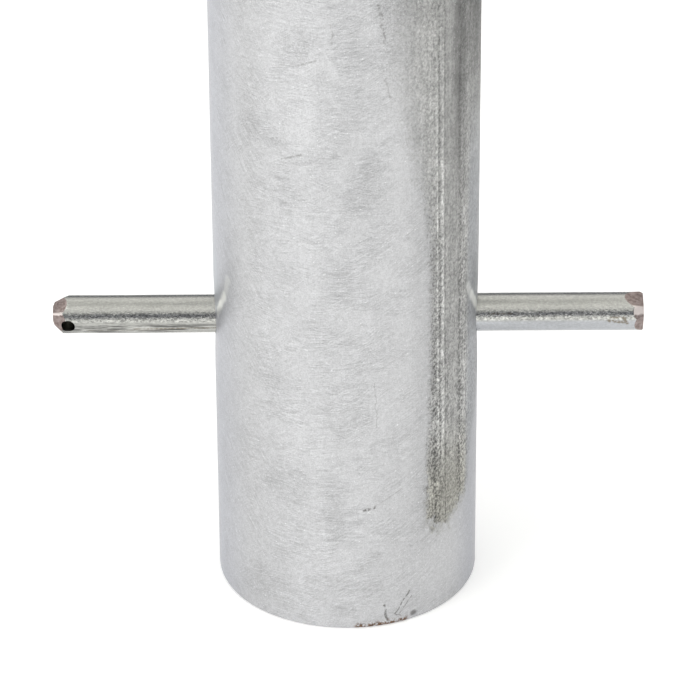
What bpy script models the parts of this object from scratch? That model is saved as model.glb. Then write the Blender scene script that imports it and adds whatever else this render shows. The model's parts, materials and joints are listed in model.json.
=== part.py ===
"""Retractable bollard: a steel post that slides up out of a galvanised tube set in the ground.

Metres, +Z up. The origin is the centre of the ground tube's open foot, and the anchor rod lies along X.
The post is modelled lowered and unlocked, with its head cap flush with the paving.
Touching pieces are kept GAP apart.
"""

import math

import bmesh
import bpy
from mathutils import Matrix, Vector

GAP = 0.0003

# Ground tube and the anchor rod that crosses it
TUBE_RADIUS = 0.04445
TUBE_WALL = 0.0032
ROD_RADIUS = 0.0065
ROD_LENGTH = 0.200
ROD_HEIGHT = 0.098
ROD_SHIFT = 0.00075
ROD_HOLE_RADIUS = 0.00685
ROD_ROLL = math.radians(-12)
TIE_HOLE_RADIUS = 0.00225
TIE_HOLE_INSET = 0.0055
DISH_RADIUS = 0.018
DISH_DEPTH = 0.0008

# Post, its travel and the height of its foot when lowered
POST_RADIUS = 0.03015
POST_WALL = 0.0032
POST_CLEARANCE = 0.0003
FOOT_HEIGHT = 0.1222
RISE = 0.600
BAND_HEIGHT = 0.075
BAND_DEPTH = 0.0008
BAND_DROPS = (0.055, 0.205)

# Frame and head, stacked downwards from the paving
CAP_RADIUS = 0.053
CAP_THICKNESS = 0.013
CAP_SPIGOT = 0.030
GASKET_THICKNESS = 0.002
RETAINER_THICKNESS = 0.003
BUSH_FLANGE = 0.0046
SEAL_DEPTH = 0.0035
PLATE_RADIUS = 0.105
PLATE_THICKNESS = 0.008
RING_INNER_RADIUS = CAP_RADIUS + 0.0005
RING_OUTER_RADIUS = 0.060
WELD_LEG = 0.005
RETAINER_SCREW_CIRCLE = 0.0475

# Lock ring and guide shoe: the shoe stops under the ring, and the bolts come to rest on top of it
BUSH_BOTTOM_DEPTH = 0.0865
LOCK_RING_DEPTH = 0.0955
LOCK_RING_HEIGHT = 0.012
SHOE_HEIGHT = 0.024
SHOE_LIP = 0.005
SLIDING_RADIUS = 0.0408

# Bolt work, measured up from the post's foot
BOLT_BASE = SHOE_HEIGHT + LOCK_RING_HEIGHT + 2 * GAP
BOLT_HEIGHT = 0.008
BOLT_HALF_WIDTH = 0.007
BOLT_INNER_END = 0.0065
BOLT_END_RADIUS = 0.0300
BOLT_TRAVEL = 0.010
BOLT_PIN_RADIUS = 0.0023
BOLT_PIN_START = 0.010
BOLT_PIN_LENGTH = 0.0097
HOUSING_BASE = 0.028
DISC_BASE = BOLT_BASE + BOLT_HEIGHT + 0.0007
DISC_RADIUS = 0.024
DISC_THICKNESS = 0.003
HUB_RADIUS = 0.007
HUB_HEIGHT = 0.006
COVER_HEIGHT = 0.0167
SPINDLE_RADIUS = 0.005
SPINDLE_CLEARANCE = 0.0003
KEY_TURN = math.radians(90)

# Lifting handle and dust flap in the head cap
HANDLE_RADIUS = 0.0035
HANDLE_HALF_WIDTH = 0.030
HANDLE_PIVOT_Y = 0.018
HANDLE_BEND_Y = -0.006
HANDLE_DROP = 0.0043
HANDLE_STUB_END = 0.0385
HANDLE_CORNER = 0.005
GROOVE_CLEARANCE = 0.0007
FLAP_RADIUS = 0.0172
FLAP_THICKNESS = 0.0022
FLAP_HINGE_Y = 0.0195
FLAP_HINGE_DROP = 0.0026
FLAP_KNUCKLE_RADIUS = 0.0022
KNUCKLE_HALF_WIDTH = 0.0064
FLAP_PIN_RADIUS = 0.00125
FLAP_PIN_REACH = 0.0130
LOCK_FLANGE_TOP_DROP = 0.0029
LOCK_FLANGE_THICKNESS = 0.0025
LOCK_BODY_RADIUS = 0.0146
LOCK_BODY_LENGTH = 0.0445
KEY_RECESS_RADIUS = 0.0105
KEY_RECESS_FLOOR_DROP = 0.0160
KEY_TRIANGLE_RADIUS = 0.0066
KEY_TRIANGLE_DROP = 0.0090
FINGER_POCKET_Y = -0.0445
FINGER_POCKET_REACH = 0.008
FINGER_POCKET_RADIUS = 0.005
FINGER_POCKET_DEPTH = 0.0095

# Heights that follow from the sizes above
GROUND = FOOT_HEIGHT + RISE + SHOE_HEIGHT + GAP + LOCK_RING_HEIGHT + LOCK_RING_DEPTH
CAP_BASE = GROUND - CAP_THICKNESS
GASKET_BASE = CAP_BASE - GAP - GASKET_THICKNESS
RETAINER_BASE = GASKET_BASE - 0.0005 - RETAINER_THICKNESS
BUSH_TOP = RETAINER_BASE - GAP
PLATE_TOP = BUSH_TOP - BUSH_FLANGE - GAP
PLATE_BASE = PLATE_TOP - PLATE_THICKNESS
TUBE_TOP = PLATE_BASE - GAP
BUSH_BASE = GROUND - BUSH_BOTTOM_DEPTH
LOCK_RING_BASE = GROUND - LOCK_RING_DEPTH - LOCK_RING_HEIGHT
POST_BASE = FOOT_HEIGHT + SHOE_LIP + GAP
POST_TOP = CAP_BASE - GAP
LOCK_FLANGE_BASE = GROUND - LOCK_FLANGE_TOP_DROP - LOCK_FLANGE_THICKNESS
LOCK_BODY_BASE = LOCK_FLANGE_BASE - LOCK_BODY_LENGTH
SPINDLE_TOP = GROUND - 0.068

TUBE_BORE = TUBE_RADIUS - TUBE_WALL
POST_BORE = POST_RADIUS - POST_WALL
POST_HOLE = POST_RADIUS + POST_CLEARANCE
INSIDE_POST = POST_BORE - GAP

SEGMENTS = 32
TUBE_SEGMENTS = 36
FINE_SEGMENTS = 40
SMALL_SEGMENTS = 16
SMOOTH_ANGLE = math.radians(35)
RADIAL = math.pi / 2

# Facets sheared on the rod's two ends: direction in degrees from the front upwards, length and depth
LEFT_FACETS = (
    (120, 0.0055, 0.0027),
    (62, 0.0049, 0.0030),
    (2, 0.0044, 0.0030),
    (-55, 0.0034, 0.0032),
    (-115, 0.0036, 0.0030),
    (178, 0.0050, 0.0028),
)
RIGHT_FACETS = (
    (75, 0.0065, 0.0024),
    (25, 0.0034, 0.0017),
    (-20, 0.0032, 0.0022),
    (-110, 0.0030, 0.0020),
    (165, 0.0050, 0.0022),
)

# Countersunk socket screws: head radius, head depth, shank radius, length, socket radius, socket depth
M4_SCREW = (0.0040, 0.0022, 0.00195, 0.0056, 0.0014, 0.0014)
M5_SCREW = (0.0046, 0.0026, 0.00245, 0.0100, 0.0017, 0.0018)
M5_LONG_SCREW = (0.0046, 0.0026, 0.00245, 0.0150, 0.0017, 0.0018)
M6_SCREW = (0.0055, 0.0029, 0.00295, 0.0105, 0.0022, 0.0020)
SCREW_CLEARANCE = 0.0003


# ---------------------------------------------------------------- meshes


def turned(profile, segments=SEGMENTS):
    """A solid turned about Z from (radius, z) points, closed on itself or ending on the axis.

    A third entry of True makes that ring a hexagon whose corners have the radius.
    """
    mesh = bmesh.new()
    rings = []
    for radius, z, *hexagonal in profile:
        if radius == 0:
            rings.append([mesh.verts.new((0, 0, z))] * segments)
            continue
        ring = []
        for step in range(segments):
            angle = math.tau * step / segments
            reach = radius
            if hexagonal:
                off_flat = (angle % (math.pi / 3)) - math.pi / 6
                reach = radius * math.cos(math.pi / 6) / math.cos(off_flat)
            ring.append(mesh.verts.new((reach * math.cos(angle), reach * math.sin(angle), z)))
        rings.append(ring)
    if profile[0][0] > 0:
        rings.append(rings[0])
    for lower, upper in zip(rings, rings[1:]):
        for this in range(segments):
            after = (this + 1) % segments
            corners = dict.fromkeys((lower[this], lower[after], upper[after], upper[this]))
            mesh.faces.new(corners)
    return mesh


def ring_mesh(inner, outer, height, segments=SEGMENTS):
    """A flat-ended ring standing on z = 0."""
    return turned([(inner, 0), (outer, 0), (outer, height), (inner, height)], segments)


def cylinder(radius, bottom, top, segments=SMALL_SEGMENTS):
    return turned([(0, bottom), (radius, bottom), (radius, top), (0, top)], segments)


def cuboid(low, high):
    mesh = bmesh.new()
    middle = (Vector(low) + Vector(high)) / 2
    sides = Vector(high) - Vector(low)
    bmesh.ops.create_cube(mesh, size=1, matrix=Matrix.Translation(middle) @ Matrix.Diagonal((*sides, 1)))
    return mesh


def extruded(outline, bottom, top):
    """A prism standing on a closed outline of (x, y) points."""
    mesh = bmesh.new()
    base = mesh.faces.new([mesh.verts.new((x, y, bottom)) for x, y in outline])
    raised = bmesh.ops.extrude_face_region(mesh, geom=[base])
    lifted = [item for item in raised["geom"] if isinstance(item, bmesh.types.BMVert)]
    bmesh.ops.translate(mesh, verts=lifted, vec=(0, 0, top - bottom))
    return mesh


def arc(centre, radius, start, end, steps):
    """Points on a circle from one angle to another, in degrees, both ends included."""
    angles = [math.radians(start + (end - start) * i / steps) for i in range(steps + 1)]
    return [(centre[0] + radius * math.cos(a), centre[1] + radius * math.sin(a)) for a in angles]


def bar_along(points, radius, sides):
    """A round bar that follows a flat path of (x, y) points at z = 0."""
    mesh = bmesh.new()
    path = [Vector((x, y, 0)) for x, y in points]
    rings = []
    for i, point in enumerate(path):
        direction = (path[min(i + 1, len(path) - 1)] - path[max(i - 1, 0)]).normalized()
        across = Vector((-direction.y, direction.x, 0))
        ring = []
        for step in range(sides):
            angle = math.tau * step / sides
            offset = across * math.cos(angle) + Vector((0, 0, math.sin(angle)))
            ring.append(mesh.verts.new(point + offset * radius))
        rings.append(ring)
    for near, far in zip(rings, rings[1:]):
        for this in range(sides):
            after = (this + 1) % sides
            mesh.faces.new((near[this], near[after], far[after], far[this]))
    mesh.faces.new(rings[0])
    mesh.faces.new(rings[-1])
    return mesh


# ---------------------------------------------------------------- objects


def clear_scene():
    for obj in list(bpy.data.objects):
        bpy.data.objects.remove(obj)


def make_material(name, colour, roughness, metallic):
    material = bpy.data.materials.new(name)
    material.use_nodes = True
    shader = material.node_tree.nodes["Principled BSDF"]
    shader.inputs["Base Color"].default_value = (*colour, 1)
    shader.inputs["Roughness"].default_value = roughness
    shader.inputs["Metallic"].default_value = metallic
    return material


def make_body(name, at):
    """An empty on a joint's axis, which carries everything that moves with that joint."""
    empty = bpy.data.objects.new(name, None)
    empty.location = at
    bpy.context.scene.collection.objects.link(empty)
    return empty


def add_object(name, mesh, body, at, turn):
    data = bpy.data.meshes.new(name)
    bmesh.ops.recalc_face_normals(mesh, faces=mesh.faces)
    mesh.to_mesh(data)
    mesh.free()
    obj = bpy.data.objects.new(name, data)
    bpy.context.scene.collection.objects.link(obj)
    obj.parent = body
    obj.matrix_parent_inverse = Matrix.Translation(body.location).inverted()
    obj.location = at
    obj.rotation_euler = turn
    return obj


def part(name, mesh, material, body, at=(0, 0, 0), turn=(0, 0, 0)):
    """One piece of the bollard, placed in the world and carried by its body."""
    obj = add_object(name, mesh, body, at, turn)
    obj.data.materials.append(material)
    obj.data.shade_smooth()
    obj.data.set_sharp_from_angle(angle=SMOOTH_ANGLE)
    return obj


def combine(obj, other, operation):
    modifier = obj.modifiers.new(other.name, "BOOLEAN")
    modifier.operation = operation
    modifier.solver = "EXACT"
    modifier.object = other


def subtract(obj, cutter):
    combine(obj, cutter, "DIFFERENCE")


def make_cutter(name, mesh, body, at=(0, 0, 0), turn=(0, 0, 0)):
    """A shape that is only used to cut or complete a part."""
    cutter = add_object(name, mesh, body, at, turn)
    cutter.hide_render = True
    cutter.display_type = "WIRE"
    return cutter


def cut(obj, mesh, at=(0, 0, 0), turn=(0, 0, 0)):
    """Takes a shape, placed in the world, out of a part."""
    name = f"{obj.name}_cutter_{len(obj.modifiers)}"
    subtract(obj, make_cutter(name, mesh, obj.parent, at, turn))


def screw(name, size, material, body, at, turn, into):
    """A countersunk screw with the top of its head at a point, and its hole in each part it enters."""
    head, head_depth, shank, length, socket, socket_depth = size
    profile = [
        (0, -length),
        (shank, -length),
        (shank, -head_depth),
        (head, 0),
        (socket, 0, True),
        (socket, -socket_depth, True),
        (0, -socket_depth),
    ]
    part(name, turned(profile, 12), material, body, at, turn)
    c = SCREW_CLEARANCE
    hole = [
        (0, -length - c),
        (shank + c, -length - c),
        (shank + c, -head_depth),
        (head + c, 0),
        (head + c, 0.003),
        (0, 0.003),
    ]
    cutter = make_cutter(name + "_hole", turned(hole, 12), body, at, turn)
    for obj in into:
        subtract(obj, cutter)


def radial_screws(name, size, material, body, height, reach, degrees, into):
    """Screws pointing at the post's axis, with their heads at a radius."""
    for number, degree in enumerate(degrees, 1):
        angle = math.radians(degree)
        at = (reach * math.cos(angle), reach * math.sin(angle), height)
        screw(f"{name}_{number}", size, material, body, at, (0, RADIAL, angle), into)


# ---------------------------------------------------------------- ground tube and anchor rod


def dished_tube():
    """The ground tube, with both sides pressed in a little round the rod's holes."""
    dished_rows = [ROD_HEIGHT + DISH_RADIUS * i / 2 for i in range(-2, 3)]
    heights = [0, *dished_rows, TUBE_TOP]
    outside = [(TUBE_RADIUS, z) for z in heights]
    inside = [(TUBE_BORE, z) for z in reversed(heights)]
    mesh = turned(outside + inside, TUBE_SEGMENTS)
    for vert in mesh.verts:
        distance = math.hypot(vert.co.y, vert.co.z - ROD_HEIGHT)
        if distance < DISH_RADIUS:
            pressed = DISH_DEPTH * (0.5 + 0.5 * math.cos(math.pi * distance / DISH_RADIUS))
            vert.co.x -= math.copysign(pressed, vert.co.x)
    return mesh


def faceted_rod():
    """The anchor rod about the X axis, with its ends sheared to four facets each."""
    mesh = cylinder(ROD_RADIUS, -ROD_LENGTH / 2, ROD_LENGTH / 2, 24)
    bmesh.ops.rotate(mesh, verts=mesh.verts, matrix=Matrix.Rotation(RADIAL, 3, "Y"))
    for side, facets in ((-1, LEFT_FACETS), (1, RIGHT_FACETS)):
        for degree, length, depth in facets:
            angle = math.radians(degree)
            outward = Vector((0, -math.cos(angle), math.sin(angle)))
            along = Vector((side, 0, 0))
            bmesh.ops.bisect_plane(
                mesh,
                geom=mesh.verts[:] + mesh.edges[:] + mesh.faces[:],
                plane_co=along * (ROD_LENGTH / 2) + outward * (ROD_RADIUS - depth),
                plane_no=along * depth + outward * length,
                clear_outer=True,
            )
            bmesh.ops.holes_fill(mesh, edges=mesh.edges)
    return mesh


def build_ground_tube(body, metals):
    tube = part("ground_tube", dished_tube(), metals["galvanised_steel"], body)
    reach = TUBE_RADIUS + 0.01
    cut(tube, cylinder(ROD_HOLE_RADIUS, -reach, reach, 24), (0, 0, ROD_HEIGHT), (0, RADIAL, 0))
    return tube


def build_anchor_rod(body, metals):
    rod = part("anchor_rod", faceted_rod(), metals["bright_zinc"], body, body.location)
    hole_at = Vector(body.location) + Vector((TIE_HOLE_INSET - ROD_LENGTH / 2, 0, 0))
    hole = cylinder(TIE_HOLE_RADIUS, -0.01, 0.01, 16)
    cut(rod, hole, hole_at, (RADIAL - ROD_ROLL, 0, 0))


# ---------------------------------------------------------------- frame, bush and lock ring


def build_frame(body, tube, metals):
    """The plate and ring at paving level, the post's guide bush below them, and the lock ring."""
    zinc = metals["galvanised_steel"]
    edge = 0.001
    plate_profile = [
        (TUBE_BORE, 0),
        (PLATE_RADIUS - edge, 0),
        (PLATE_RADIUS, edge),
        (PLATE_RADIUS, PLATE_THICKNESS - edge),
        (PLATE_RADIUS - edge, PLATE_THICKNESS),
        (TUBE_BORE, PLATE_THICKNESS),
    ]
    plate = part("frame_plate", turned(plate_profile, FINE_SEGMENTS), zinc, body, (0, 0, PLATE_BASE))

    height = GROUND - PLATE_TOP - GAP
    ring_profile = [
        (RING_INNER_RADIUS, 0),
        (RING_OUTER_RADIUS, 0),
        (RING_OUTER_RADIUS, height - edge),
        (RING_OUTER_RADIUS - edge, height),
        (RING_INNER_RADIUS, height),
    ]
    frame_ring_mesh = turned(ring_profile, FINE_SEGMENTS)
    part("frame_ring", frame_ring_mesh, zinc, body, (0, 0, PLATE_TOP + GAP))

    tube_edge = TUBE_RADIUS + GAP
    tube_weld = [(tube_edge, 0), (tube_edge + WELD_LEG, 0), (tube_edge, -WELD_LEG)]
    part("tube_weld", turned(tube_weld), zinc, body, (0, 0, PLATE_BASE - GAP))
    ring_edge = RING_OUTER_RADIUS + GAP
    ring_weld = [(ring_edge, 0), (ring_edge + WELD_LEG, 0), (ring_edge, WELD_LEG)]
    part("ring_weld", turned(ring_weld), zinc, body, (0, 0, PLATE_TOP + GAP))

    flange_radius = RING_INNER_RADIUS - 0.0006
    seal_pocket = 0.0363
    sleeve = BUSH_TOP - BUSH_FLANGE - BUSH_BASE
    top = BUSH_TOP - BUSH_BASE
    bush_profile = [
        (POST_HOLE, 0),
        (SLIDING_RADIUS - GAP, 0),
        (SLIDING_RADIUS - GAP, sleeve),
        (flange_radius, sleeve),
        (flange_radius, top),
        (seal_pocket, top),
        (seal_pocket, top - SEAL_DEPTH),
        (POST_HOLE, top - SEAL_DEPTH),
    ]
    bush = part("guide_bush", turned(bush_profile), metals["black_nylon"], body, (0, 0, BUSH_BASE))

    seal_height = SEAL_DEPTH - GAP
    lip = 0.0012
    lip_radius = POST_RADIUS + 0.0002
    seal_profile = [
        (lip_radius, lip),
        (lip_radius + lip, 0),
        (seal_pocket - GAP, 0),
        (seal_pocket - GAP, seal_height),
        (lip_radius + lip, seal_height),
    ]
    seal_at = (0, 0, BUSH_TOP - seal_height)
    part("wiper_seal", turned(seal_profile), metals["black_rubber"], body, seal_at)

    retainer_mesh = ring_mesh(0.033, flange_radius, RETAINER_THICKNESS)
    stainless = metals["stainless_steel"]
    retainer = part("retainer_ring", retainer_mesh, stainless, body, (0, 0, RETAINER_BASE))
    head_height = RETAINER_BASE + RETAINER_THICKNESS - GAP
    for number in range(4):
        angle = math.radians(45 + 90 * number)
        at = (
            RETAINER_SCREW_CIRCLE * math.cos(angle),
            RETAINER_SCREW_CIRCLE * math.sin(angle),
            head_height,
        )
        name = f"retainer_screw_{number + 1}"
        screw(name, M5_LONG_SCREW, stainless, body, at, (0, 0, 0), (retainer, bush, plate))

    lock_ring_mesh = ring_mesh(POST_RADIUS + 0.0005, SLIDING_RADIUS - GAP, LOCK_RING_HEIGHT)
    lock_ring = part("lock_ring", lock_ring_mesh, metals["bright_zinc"], body, (0, 0, LOCK_RING_BASE))
    ring_middle = LOCK_RING_BASE + LOCK_RING_HEIGHT / 2
    head_reach = TUBE_RADIUS - 0.0005
    radial_screws(
        "ring_screw", M6_SCREW, stainless, body, ring_middle, head_reach, (30, 150, 270), (tube, lock_ring)
    )


def build_guide_rail(body, tube, metals):
    """The bar inside the back of the ground tube that keeps the post from turning."""
    low, high = 0.117, LOCK_RING_BASE - 0.001
    rail = part(
        "guide_rail",
        cuboid((-0.004, 0.03765, 0), (0.004, 0.04065, high - low)),
        metals["galvanised_steel"],
        body,
        (0, 0, low),
    )
    for number, height in enumerate((0.20, 0.43, 0.66), 1):
        at = (0, TUBE_RADIUS - 0.0004, height)
        name = f"rail_screw_{number}"
        screw(name, M4_SCREW, metals["stainless_steel"], body, at, (0, RADIAL, RADIAL), (tube, rail))


# ---------------------------------------------------------------- post


def build_post_tube(body, metals):
    groove = POST_RADIUS - BAND_DEPTH
    length = POST_TOP - POST_BASE
    profile = [(POST_BORE, 0), (POST_RADIUS, 0)]
    for drop in sorted(BAND_DROPS, reverse=True):
        band_top = length - drop
        band_base = band_top - BAND_HEIGHT
        profile += [
            (POST_RADIUS, band_base),
            (groove, band_base),
            (groove, band_top),
            (POST_RADIUS, band_top),
        ]
    profile += [(POST_RADIUS, length), (POST_BORE, length)]
    post = part("post_tube", turned(profile), metals["galvanised_steel"], body, (0, 0, POST_BASE))

    half_width = BOLT_HALF_WIDTH + GAP
    slot_reach = POST_RADIUS + 0.01
    slot_low = FOOT_HEIGHT + BOLT_BASE - GAP
    slot = cuboid(
        (-slot_reach, -half_width, slot_low), (slot_reach, half_width, slot_low + BOLT_HEIGHT + 2 * GAP)
    )
    cut(post, slot)

    for name, drop in zip(("reflective_band_upper", "reflective_band_lower"), BAND_DROPS):
        band = ring_mesh(groove + 0.00015, POST_RADIUS - 0.0001, BAND_HEIGHT - 2 * GAP)
        base = POST_TOP - drop - BAND_HEIGHT + GAP
        part(name, band, metals["red_reflective_film"], body, (0, 0, base))
    return post


def build_guide_shoe(body, post, metals):
    """The nylon ring on the post's foot that runs in the ground tube and round the guide rail."""
    chamfer = 0.0015
    profile = [
        (0.020, 0),
        (SLIDING_RADIUS - chamfer, 0),
        (SLIDING_RADIUS, chamfer),
        (SLIDING_RADIUS, SHOE_HEIGHT),
        (POST_HOLE, SHOE_HEIGHT),
        (POST_HOLE, SHOE_LIP),
        (0.020, SHOE_LIP),
    ]
    shoe = part("guide_shoe", turned(profile), metals["black_nylon"], body, (0, 0, FOOT_HEIGHT))
    cut(shoe, cuboid((-0.0045, 0.0373, FOOT_HEIGHT - 0.01), (0.0045, 0.05, FOOT_HEIGHT + 0.04)))
    radial_screws(
        "shoe_screw",
        M5_LONG_SCREW,
        metals["stainless_steel"],
        body,
        FOOT_HEIGHT + 0.014,
        SLIDING_RADIUS - 0.0008,
        (30, 150, 270),
        (shoe, post),
    )


# ---------------------------------------------------------------- bolt work in the post's foot


def spiral_slot(turn_offset):
    """The outline of one slot in the scroll disc: the bolt pin moves out evenly as the disc turns."""
    per_radian = BOLT_TRAVEL / KEY_TURN
    half_width = BOLT_PIN_RADIUS + 0.00025
    overrun = math.radians(2)
    steps = 9
    inner, outer = [], []
    for i in range(steps + 1):
        turn = -overrun + (KEY_TURN + 2 * overrun) * i / steps
        radius = BOLT_PIN_START + per_radian * turn
        angle = turn_offset - turn
        point = Vector((radius * math.cos(angle), radius * math.sin(angle)))
        tangent = Vector(
            (
                per_radian * math.cos(angle) + radius * math.sin(angle),
                per_radian * math.sin(angle) - radius * math.cos(angle),
            )
        ).normalized()
        normal = Vector((-tangent.y, tangent.x))
        inner.append(point - normal * half_width)
        outer.append(point + normal * half_width)
        if i == 0:
            first, first_back = point, -tangent
        last, last_forward = point, tangent

    def rounded_end(centre, forward):
        side = Vector((-forward.y, forward.x))
        angles = [math.radians(90 - 30 * i) for i in range(1, 6)]
        return [centre + (forward * math.cos(a) + side * math.sin(a)) * half_width for a in angles]

    far_end = rounded_end(last, last_forward)
    near_end = rounded_end(first, first_back)
    return [tuple(p) for p in outer + far_end + inner[::-1] + near_end]


def build_bolt_work(post_body, spindle_body, bolt_bodies, post, metals):
    """The housing, its two bolts, and the scroll disc and cover above them."""
    steel, stainless = metals["bright_zinc"], metals["stainless_steel"]
    foot = FOOT_HEIGHT
    housing_height = BOLT_BASE + BOLT_HEIGHT + GAP - HOUSING_BASE
    housing_mesh = ring_mesh(0.0037, INSIDE_POST, housing_height)
    housing = part("lock_housing", housing_mesh, steel, post_body, (0, 0, foot + HOUSING_BASE))
    channel_low = foot + BOLT_BASE - GAP
    half_width = BOLT_HALF_WIDTH + GAP
    cut(housing, cuboid((-0.04, -half_width, channel_low), (0.04, half_width, channel_low + 0.02)))

    end_angle = math.degrees(math.asin(BOLT_HALF_WIDTH / BOLT_END_RADIUS))
    rounded_end = arc((0, 0), BOLT_END_RADIUS, -end_angle, end_angle, 6)
    bolt_outline = [(BOLT_INNER_END, -BOLT_HALF_WIDTH), *rounded_end, (BOLT_INNER_END, BOLT_HALF_WIDTH)]
    for name, side in (("right", 1), ("left", -1)):
        body = bolt_bodies[name]
        outline = [(side * x, y) for x, y in bolt_outline]
        bolt_mesh = extruded(outline, 0, BOLT_HEIGHT)
        bolt = part(f"lock_bolt_{name}", bolt_mesh, steel, body, (0, 0, foot + BOLT_BASE))
        pin_at = (side * BOLT_PIN_START, 0, foot + BOLT_BASE + 0.0017)
        cut(bolt, cylinder(BOLT_PIN_RADIUS + GAP, -GAP, 0.02, 14), pin_at)
        pin_mesh = cylinder(BOLT_PIN_RADIUS, 0, BOLT_PIN_LENGTH, 14)
        part(f"bolt_pin_{name}", pin_mesh, stainless, body, pin_at)

    disc_profile = [
        (SPINDLE_RADIUS + SPINDLE_CLEARANCE, 0),
        (DISC_RADIUS, 0),
        (DISC_RADIUS, DISC_THICKNESS),
        (HUB_RADIUS, DISC_THICKNESS),
        (HUB_RADIUS, DISC_THICKNESS + HUB_HEIGHT),
        (SPINDLE_RADIUS + SPINDLE_CLEARANCE, DISC_THICKNESS + HUB_HEIGHT),
    ]
    disc_at = (0, 0, foot + DISC_BASE)
    disc = part("scroll_disc", turned(disc_profile, 32), steel, spindle_body, disc_at)
    for turn_offset in (0, math.pi):
        cut(disc, extruded(spiral_slot(turn_offset), -0.002, DISC_THICKNESS + 0.002), disc_at)

    pin_height = foot + DISC_BASE + DISC_THICKNESS + HUB_HEIGHT / 2
    cross_pin("disc_pin", 0.0013, 0.0068, pin_height, spindle_body, (disc,), stainless)

    disc_room = DISC_THICKNESS + 0.0006
    hub_room = DISC_THICKNESS + HUB_HEIGHT + 0.001
    bush_seat = 0.0073
    cover_profile = [
        (DISC_RADIUS + 0.0006, 0),
        (INSIDE_POST, 0),
        (INSIDE_POST, COVER_HEIGHT),
        (bush_seat, COVER_HEIGHT),
        (bush_seat, hub_room),
        (HUB_RADIUS + 0.0008, hub_room),
        (HUB_RADIUS + 0.0008, disc_room),
        (DISC_RADIUS + 0.0006, disc_room),
    ]
    cover = part("lock_cover", turned(cover_profile), steel, post_body, disc_at)

    flange = 0.0015
    bush_length = COVER_HEIGHT - hub_room - 0.0005
    bush_profile = [
        (SPINDLE_RADIUS + SPINDLE_CLEARANCE, -bush_length),
        (bush_seat - GAP, -bush_length),
        (bush_seat - GAP, GAP),
        (0.0095, GAP),
        (0.0095, GAP + flange),
        (SPINDLE_RADIUS + SPINDLE_CLEARANCE, GAP + flange),
    ]
    bush_at = (0, 0, foot + DISC_BASE + COVER_HEIGHT)
    part("spindle_bush", turned(bush_profile, 24), metals["brass"], post_body, bush_at)

    head_reach = POST_RADIUS - 0.0005
    for name, height, inner in (("housing_screw", 0.0322, housing), ("cover_screw", 0.0572, cover)):
        into = (post, inner)
        radial_screws(name, M5_SCREW, stainless, post_body, foot + height, head_reach, (90, 270), into)


def cross_pin(name, radius, reach, height, body, through, material):
    """A pin along X through a shaft, and its hole in each part it passes."""
    at, turn = (0, 0, height), (0, RADIAL, 0)
    part(name, cylinder(radius, -reach, reach, 12), material, body, at, turn)
    hole = make_cutter(name + "_hole", cylinder(radius + 0.0002, -0.02, 0.02, 12), body, at, turn)
    for obj in through:
        subtract(obj, hole)


def build_spindle(post_body, spindle_body, metals):
    """The long shaft from the key plug down to the scroll disc, with its coupling and mid guide."""
    steel, stainless = metals["bright_zinc"], metals["stainless_steel"]
    foot_pilot = FOOT_HEIGHT + 0.030
    pilot_radius = 0.0034
    shoulder = FOOT_HEIGHT + DISC_BASE
    spindle_profile = [
        (0, 0),
        (pilot_radius, 0),
        (pilot_radius, shoulder - foot_pilot),
        (SPINDLE_RADIUS, shoulder - foot_pilot),
        (SPINDLE_RADIUS, SPINDLE_TOP - foot_pilot),
        (0, SPINDLE_TOP - foot_pilot),
    ]
    spindle_mesh = turned(spindle_profile, SMALL_SEGMENTS)
    spindle = part("lock_spindle", spindle_mesh, steel, spindle_body, (0, 0, foot_pilot))
    disc_pin_hole = bpy.data.objects["disc_pin_hole"]
    subtract(spindle, disc_pin_hole)

    plug_body, plug_stem, collar = 0.0071, SPINDLE_RADIUS, 0.0098
    collar_top = GROUND - 0.0127
    collar_base = collar_top - 0.003
    stem_top = LOCK_BODY_BASE - 0.0005
    stem_base = SPINDLE_TOP + 0.001
    plug_profile = [
        (0, stem_base),
        (plug_stem, stem_base),
        (plug_stem, stem_top),
        (plug_body, stem_top),
        (plug_body, collar_base),
        (collar, collar_base),
        (collar, collar_top),
        (0, collar_top),
    ]
    plug = part("key_plug", turned(plug_profile, 24), stainless, spindle_body)
    triangle = arc((0, 0), KEY_TRIANGLE_RADIUS, 90, 330, 2)
    stud = extruded(triangle, collar_top - 0.001, GROUND - KEY_TRIANGLE_DROP)
    combine(plug, make_cutter("key_plug_stud", stud, spindle_body), "UNION")

    sleeve_base, sleeve_height, sleeve_radius = GROUND - 0.084, 0.032, 0.009
    sleeve_mesh = ring_mesh(SPINDLE_RADIUS + SPINDLE_CLEARANCE, sleeve_radius, sleeve_height, 24)
    sleeve = part("coupling_sleeve", sleeve_mesh, steel, spindle_body, (0, 0, sleeve_base))
    for level, height, joined in (("upper", 0.0245, plug), ("lower", 0.0075, spindle)):
        name = f"coupling_pin_{level}"
        pin_reach = sleeve_radius - 0.0005
        cross_pin(name, 0.0015, pin_reach, sleeve_base + height, spindle_body, (sleeve, joined), stainless)

    hub, rim, web, height = 0.009, 0.023, 0.003, 0.010
    guide_profile = [
        (SPINDLE_RADIUS + SPINDLE_CLEARANCE, 0),
        (INSIDE_POST, 0),
        (INSIDE_POST, height),
        (rim, height),
        (rim, web),
        (hub, web),
        (hub, height),
        (SPINDLE_RADIUS + SPINDLE_CLEARANCE, height),
    ]
    guide_at = (0, 0, FOOT_HEIGHT + 0.330)
    part("spindle_guide", turned(guide_profile, 32), metals["black_nylon"], post_body, guide_at)


# ---------------------------------------------------------------- head cap, handle, lock and flap


def handle_outline(half_width):
    """The closed outline of the groove that the handle lies in, from its centre line out."""
    outer = HANDLE_HALF_WIDTH + half_width
    inner = HANDLE_HALF_WIDTH - half_width
    back = HANDLE_PIVOT_Y + half_width
    centre = (0, HANDLE_BEND_Y)
    outside = arc(centre, outer, 0, -180, 18)
    inside = arc(centre, inner, -180, 0, 18)
    return [(outer, back), *outside, (-outer, back), (-inner, back), *inside, (inner, back)]


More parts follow.
